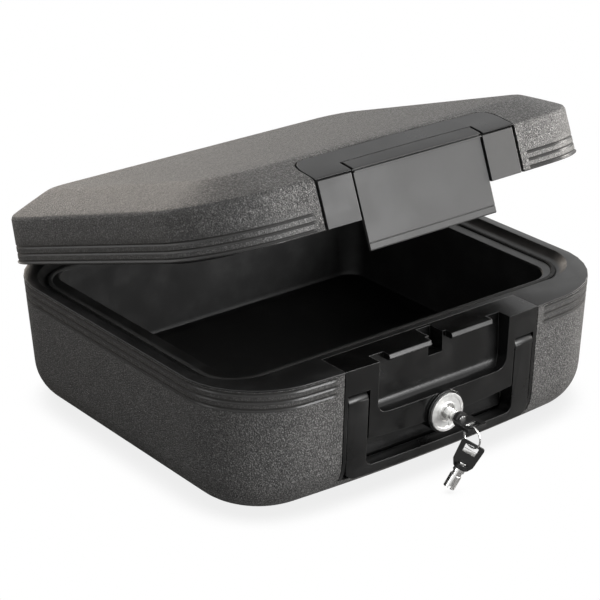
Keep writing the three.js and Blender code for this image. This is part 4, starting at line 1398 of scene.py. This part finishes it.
@dataclass
class Keys:
    """The key in the lock, the ring and the spare key.

    A key's own frame has its origin at the bow's outer end, its tube along +Y and its
    bow flat in XY. Each tang is the part of the metal that shows in the bow's window.
    """

    key_place: Triple = (0.0, -216.5 * MM, 51.41 * MM)
    ring_middle: Triple = (-4.4 * MM, -215.5 * MM, 44.71 * MM)
    ring_radius: float = 9 * MM
    ring_wire: float = 0.7 * MM
    spare_tip: Triple = (-21.2 * MM, -208.6 * MM, 4.4 * MM)
    spare_facing: Triple = (-0.553, -0.73, 0.401)
    spare_hang: float = 3.5 * MM
    tang_half: float = 5.45 * MM
    tang_thickness: float = 1.5 * MM
    tang_end: float = 9.25 * MM
    tang_edge: float = 0.2 * MM
    key_tang: float = 8.2 * MM
    spare_tang: float = 5.9 * MM

    def ring(self) -> bpy.types.Object:
        """The wire ring, swept round a circle.

        Returns:
            The ring.
        """
        tree = Growth("key_ring_tree")
        middle = tree.take("ring_middle", self.ring_middle, "NodeSocketVector")
        path, section = (
            tree.node(
                "GeometryNodeCurvePrimitiveCircle",
                {"Resolution": steps, "Radius": tree.take(size, getattr(self, size))},
            )
            for size, steps in (("ring_radius", 84), ("ring_wire", 16))
        )
        wire = {"Curve": path, "Profile Curve": section}
        swept = tree.node("GeometryNodeCurveToMesh", wire)
        placed = tree.move(swept, middle, (0.0, math.pi / 2, 0.0))
        return tree.grow("key_ring_wire", placed, BRIGHT, [Vector()])

    def spare_frame(self) -> Matrix:
        """Where the spare key's own frame lies: it hangs from the ring's lowest point.

        Returns:
            The move from the key's own frame to the chest's.
        """
        wire = Vector(self.ring_middle) - Vector((0, 0, self.ring_radius))
        along = (Vector(self.spare_tip) - wire).normalized()
        facing = Vector(self.spare_facing)
        facing = (facing - along * facing.dot(along)).normalized()
        turn = Matrix((along.cross(facing), along, facing)).transposed().to_4x4()
        return Matrix.Translation(wire - along * self.spare_hang) @ turn

    def tang(self, name: str, start: float, frame: Matrix, body: Body) -> None:
        """The stamped end of a key's metal in its bow's window.

        Args:
            name: the piece's name.
            start: how far from the bow's outer end it begins.
            frame: the key's own frame.
            body: the body that it rides on.
        """
        work = bmesh.new()
        bmesh.ops.create_cube(work, size=1.0)
        size = (2 * self.tang_half, self.tang_end - start, self.tang_thickness)
        middle = Matrix.Translation((0, (self.tang_end + start) / 2, 0))
        bmesh.ops.transform(work, matrix=Matrix.Diagonal((*size, 1)), verts=work.verts)
        bmesh.ops.bevel(
            work, geom=work.edges[:], offset=self.tang_edge, segments=2, profile=0.6,
            affect="EDGES",
        )
        bmesh.ops.transform(work, matrix=frame @ middle, verts=work.verts)
        shade(work)
        Piece.settle(new_object(name, as_mesh(name, work)), BRIGHT, body, Slot.BRIGHT)

    def build(self) -> None:
        """Builds and dresses the keys."""
        Piece.settle(self.ring(), BRIGHT, Body.RING, Slot.BRIGHT, "key_ring")
        self.tang("key_tang", self.key_tang, Matrix.Translation(self.key_place), Body.KEY)
        self.tang("spare_key_tang", self.spare_tang, self.spare_frame(), Body.SPARE)
        for key, body in (("key", Body.KEY), ("spare_key", Body.SPARE)):
            Piece.carry(f"{key}_bow", "cut", KEY_HEAD, body, Slot.KEY)
            Piece.carry(f"{key}_tube", "cut", BRIGHT, body, Slot.BRIGHT)


@dataclass
class Hinges:
    """Brackets, pins, leaves and their screws."""

    spread: float = 110 * MM
    screw_half: float = 5 * MM
    bracket_seat: tuple[float, float] = (159.9 * MM, 105.9 * MM)
    leaf_seat: tuple[float, float] = (154.3 * MM, 114.6 * MM)
    screws: Screws = field(default_factory=Screws)

    def places(self, y: float, z: float) -> list[Vector]:
        """Where four screws sit: two on each hinge.

        Args:
            y: their place from front to back.
            z: their height.

        Returns:
            The places, from left to right.
        """
        return [
            Vector((hinge * self.spread + screw * self.screw_half, y, z))
            for hinge in (-1, 1)
            for screw in (-1, 1)
        ]

    def build(self) -> None:
        """Builds and dresses both hinges."""
        for side, _ in SIDES:
            for body, kind in ((Body.BASE, "bracket"), (Body.BASE, "pin"), (Body.LID, "leaf")):
                Piece.carry(f"hinge_{kind}_{side}", "steel", ZINC, body, Slot.ZINC)
        lid = Lid()
        shut = self.places(*self.bracket_seat)
        opened = [lid.turned() @ place for place in self.places(*self.leaf_seat)]
        for kind, body, places, turn in (
            ("bracket", Body.BASE, shut, -math.pi / 2),
            ("leaf", Body.LID, opened, math.pi - math.radians(lid.opened)),
        ):
            grown = self.screws.grow(f"{kind}_screws", places, turn)
            nodes = [f"{kind}_screw_{side}_{i}" for side, _ in SIDES for i in (1, 2)]
            Piece.settle(grown, ZINC, body, Slot.ZINC, *nodes)


@dataclass(frozen=True)
class Lamp:
    """A soft square lamp. Azimuth 0 is in front of the chest and 90 to its right."""

    name: str
    azimuth: float
    elevation: float
    size: float
    power: float
    colour: Triple = (1.0, 1.0, 1.0)


WARM = (1.0, 0.96, 0.91)
AMBER = (1.0, 0.88, 0.76)
LAMPS = (
    Lamp("front_low", 20, 4, 1.0, 40),
    Lamp("front_high", 25, 16, 1.5, 12),
    Lamp("right_near", 64, 5, 1.0, 15, WARM),
    Lamp("right", 82, 5, 1.0, 42, WARM),
    Lamp("rear_right", 168, 14, 1.0, 12, AMBER),
    Lamp("rear_left", 218, 30, 1.3, 6, WARM),
    Lamp("left", 262, 6, 1.0, 7),
)


@dataclass
class Studio:
    """Pale floor, soft lamps and the camera."""

    lamps: tuple[Lamp, ...] = LAMPS
    reach: float = 2.6
    aim: float = 0.12
    clearance: float = 0.02
    dim: float = 0.014
    sensor: float = 36.0
    focal_px: float = 2141.88
    image_px: int = 600
    azimuth: float = -37.14
    elevation: float = 23.63
    roll: float = -0.74
    distance: float = 1.84366
    target: Triple = (0.03115, 0.04727, 0.060)
    floor_half: float = 6.0
    floor_drop: float = 0.4 * MM
    floor_colour: Triple = (0.65, 0.65, 0.65)
    shade_reach: float = 32 * MM
    shade_range: tuple[float, float] = (0.3, 0.8)
    shade_level: float = 0.84

    def camera(self) -> None:
        """The camera at the photograph's viewing angle."""
        back = direction(self.azimuth, self.elevation)
        right = Vector((0, 0, 1)).cross(back).normalized()
        level = Matrix((right, back.cross(right), back)).transposed().to_4x4()
        data = bpy.data.cameras.new("camera")
        data.sensor_width = self.sensor
        data.lens = self.focal_px * self.sensor / self.image_px
        made = bpy.data.objects.new("camera", data)
        bpy.context.scene.collection.objects.link(made)
        place = Matrix.Translation(Vector(self.target) + back * self.distance)
        made.matrix_world = place @ level @ Matrix.Rotation(math.radians(self.roll), 4, "Z")
        bpy.context.scene.camera = made

    def lamp(self, lamp: Lamp) -> None:
        """Hangs one soft square lamp, facing the chest.

        Args:
            lamp: where it stands, and its size, power and colour.
        """
        data = bpy.data.lights.new(lamp.name, "AREA")
        data.size, data.energy, data.color = lamp.size, lamp.power, lamp.colour
        made = bpy.data.objects.new(lamp.name, data)
        middle = Vector((0, 0, self.aim))
        place = middle + direction(lamp.azimuth, lamp.elevation) * self.reach
        lowest = lamp.size / 2 * math.cos(math.radians(lamp.elevation)) + self.clearance
        place.z = max(place.z, lowest)
        made.location = place
        made.rotation_euler = (middle - place).to_track_quat("-Z", "Y").to_euler()
        bpy.context.scene.collection.objects.link(made)

    def backdrop(self) -> None:
        """White where it is seen, straight or in gloss, and dim for what it lights."""
        world = bpy.data.worlds.new("surround")
        world.use_nodes = True
        bpy.context.scene.world = world
        nodes = Nodes(world.node_tree)
        path = nodes.add("ShaderNodeLightPath").outputs
        mirrored = nodes.math("MAXIMUM", path["Is Glossy Ray"], path["Is Transmission Ray"])
        seen = nodes.math("MAXIMUM", path["Is Camera Ray"], mirrored)
        dim, plain = (
            nodes.add("ShaderNodeBackground", {"Color": (1.0, 1.0, 1.0), "Strength": strength})
            for strength in (self.dim, 1.0)
        )
        mixed = {0: seen, 1: dim.outputs[0], 2: plain.outputs[0]}
        both = nodes.add("ShaderNodeMixShader", mixed)
        nodes.add("ShaderNodeOutputWorld", {"Surface": both.outputs[0]})

    def floor(self) -> None:
        """A pale floor, seen as white but for a soft shade close round the chest."""
        half, low = self.floor_half, -self.floor_drop
        mesh = bpy.data.meshes.new("floor")
        corners = [(-half, -half, low), (half, -half, low), (half, half, low), (-half, half, low)]
        mesh.from_pydata(corners, [], [(0, 1, 2, 3)])
        made = new_object("floor", mesh)
        material = bpy.data.materials.new("floor_pale")
        material.use_nodes = True
        nodes = Nodes(material.node_tree)
        seen = nodes.add("ShaderNodeLightPath").outputs["Is Camera Ray"]
        matt = nodes.add("ShaderNodeBsdfDiffuse", {"Color": self.floor_colour})
        near = nodes.add(
            "ShaderNodeAmbientOcclusion", {"Distance": self.shade_reach}, samples=8
        )
        level = nodes.ramp(near.outputs["AO"], *self.shade_range, self.shade_level, 1.0)
        white = nodes.add("ShaderNodeEmission", {"Color": (1.0, 1.0, 1.0), "Strength": level})
        mixed = {0: seen, 1: matt.outputs[0], 2: white.outputs[0]}
        both = nodes.add("ShaderNodeMixShader", mixed)
        nodes.add("ShaderNodeOutputMaterial", {"Surface": both.outputs[0]})
        mesh.materials.append(material)

    def build(self) -> None:
        """Sets the studio up."""
        self.camera()
        self.backdrop()
        self.floor()
        for lamp in self.lamps:
            self.lamp(lamp)
        bpy.context.scene.view_settings.view_transform = "Standard"


def dress_hidden(frame: dict) -> None:
    """Gives the sealed pieces their finish.

    Args:
        frame: what load returned.
    """
    for name in ("base_filler", "lid_filler"):
        mesh = frame["nodes"][name].data
        mesh.materials.clear()
        mesh.materials.append(FILLER.material())
        LOG.info("%s: %d faces, dressed as it is", name, len(mesh.polygons))


def main() -> None:
    """Builds every sub-assembly in order and notes the sizes."""
    logging.basicConfig(level=logging.INFO, format="%(name)s: %(message)s")
    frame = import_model()
    dress_hidden(frame)
    for part in (Base(), Lid(), Handle(), Lock(), Keys(), Hinges()):
        part.build()
        LOG.info("%s built", type(part).__name__)
    Studio().build()


if __name__ == "__main__":
    main()
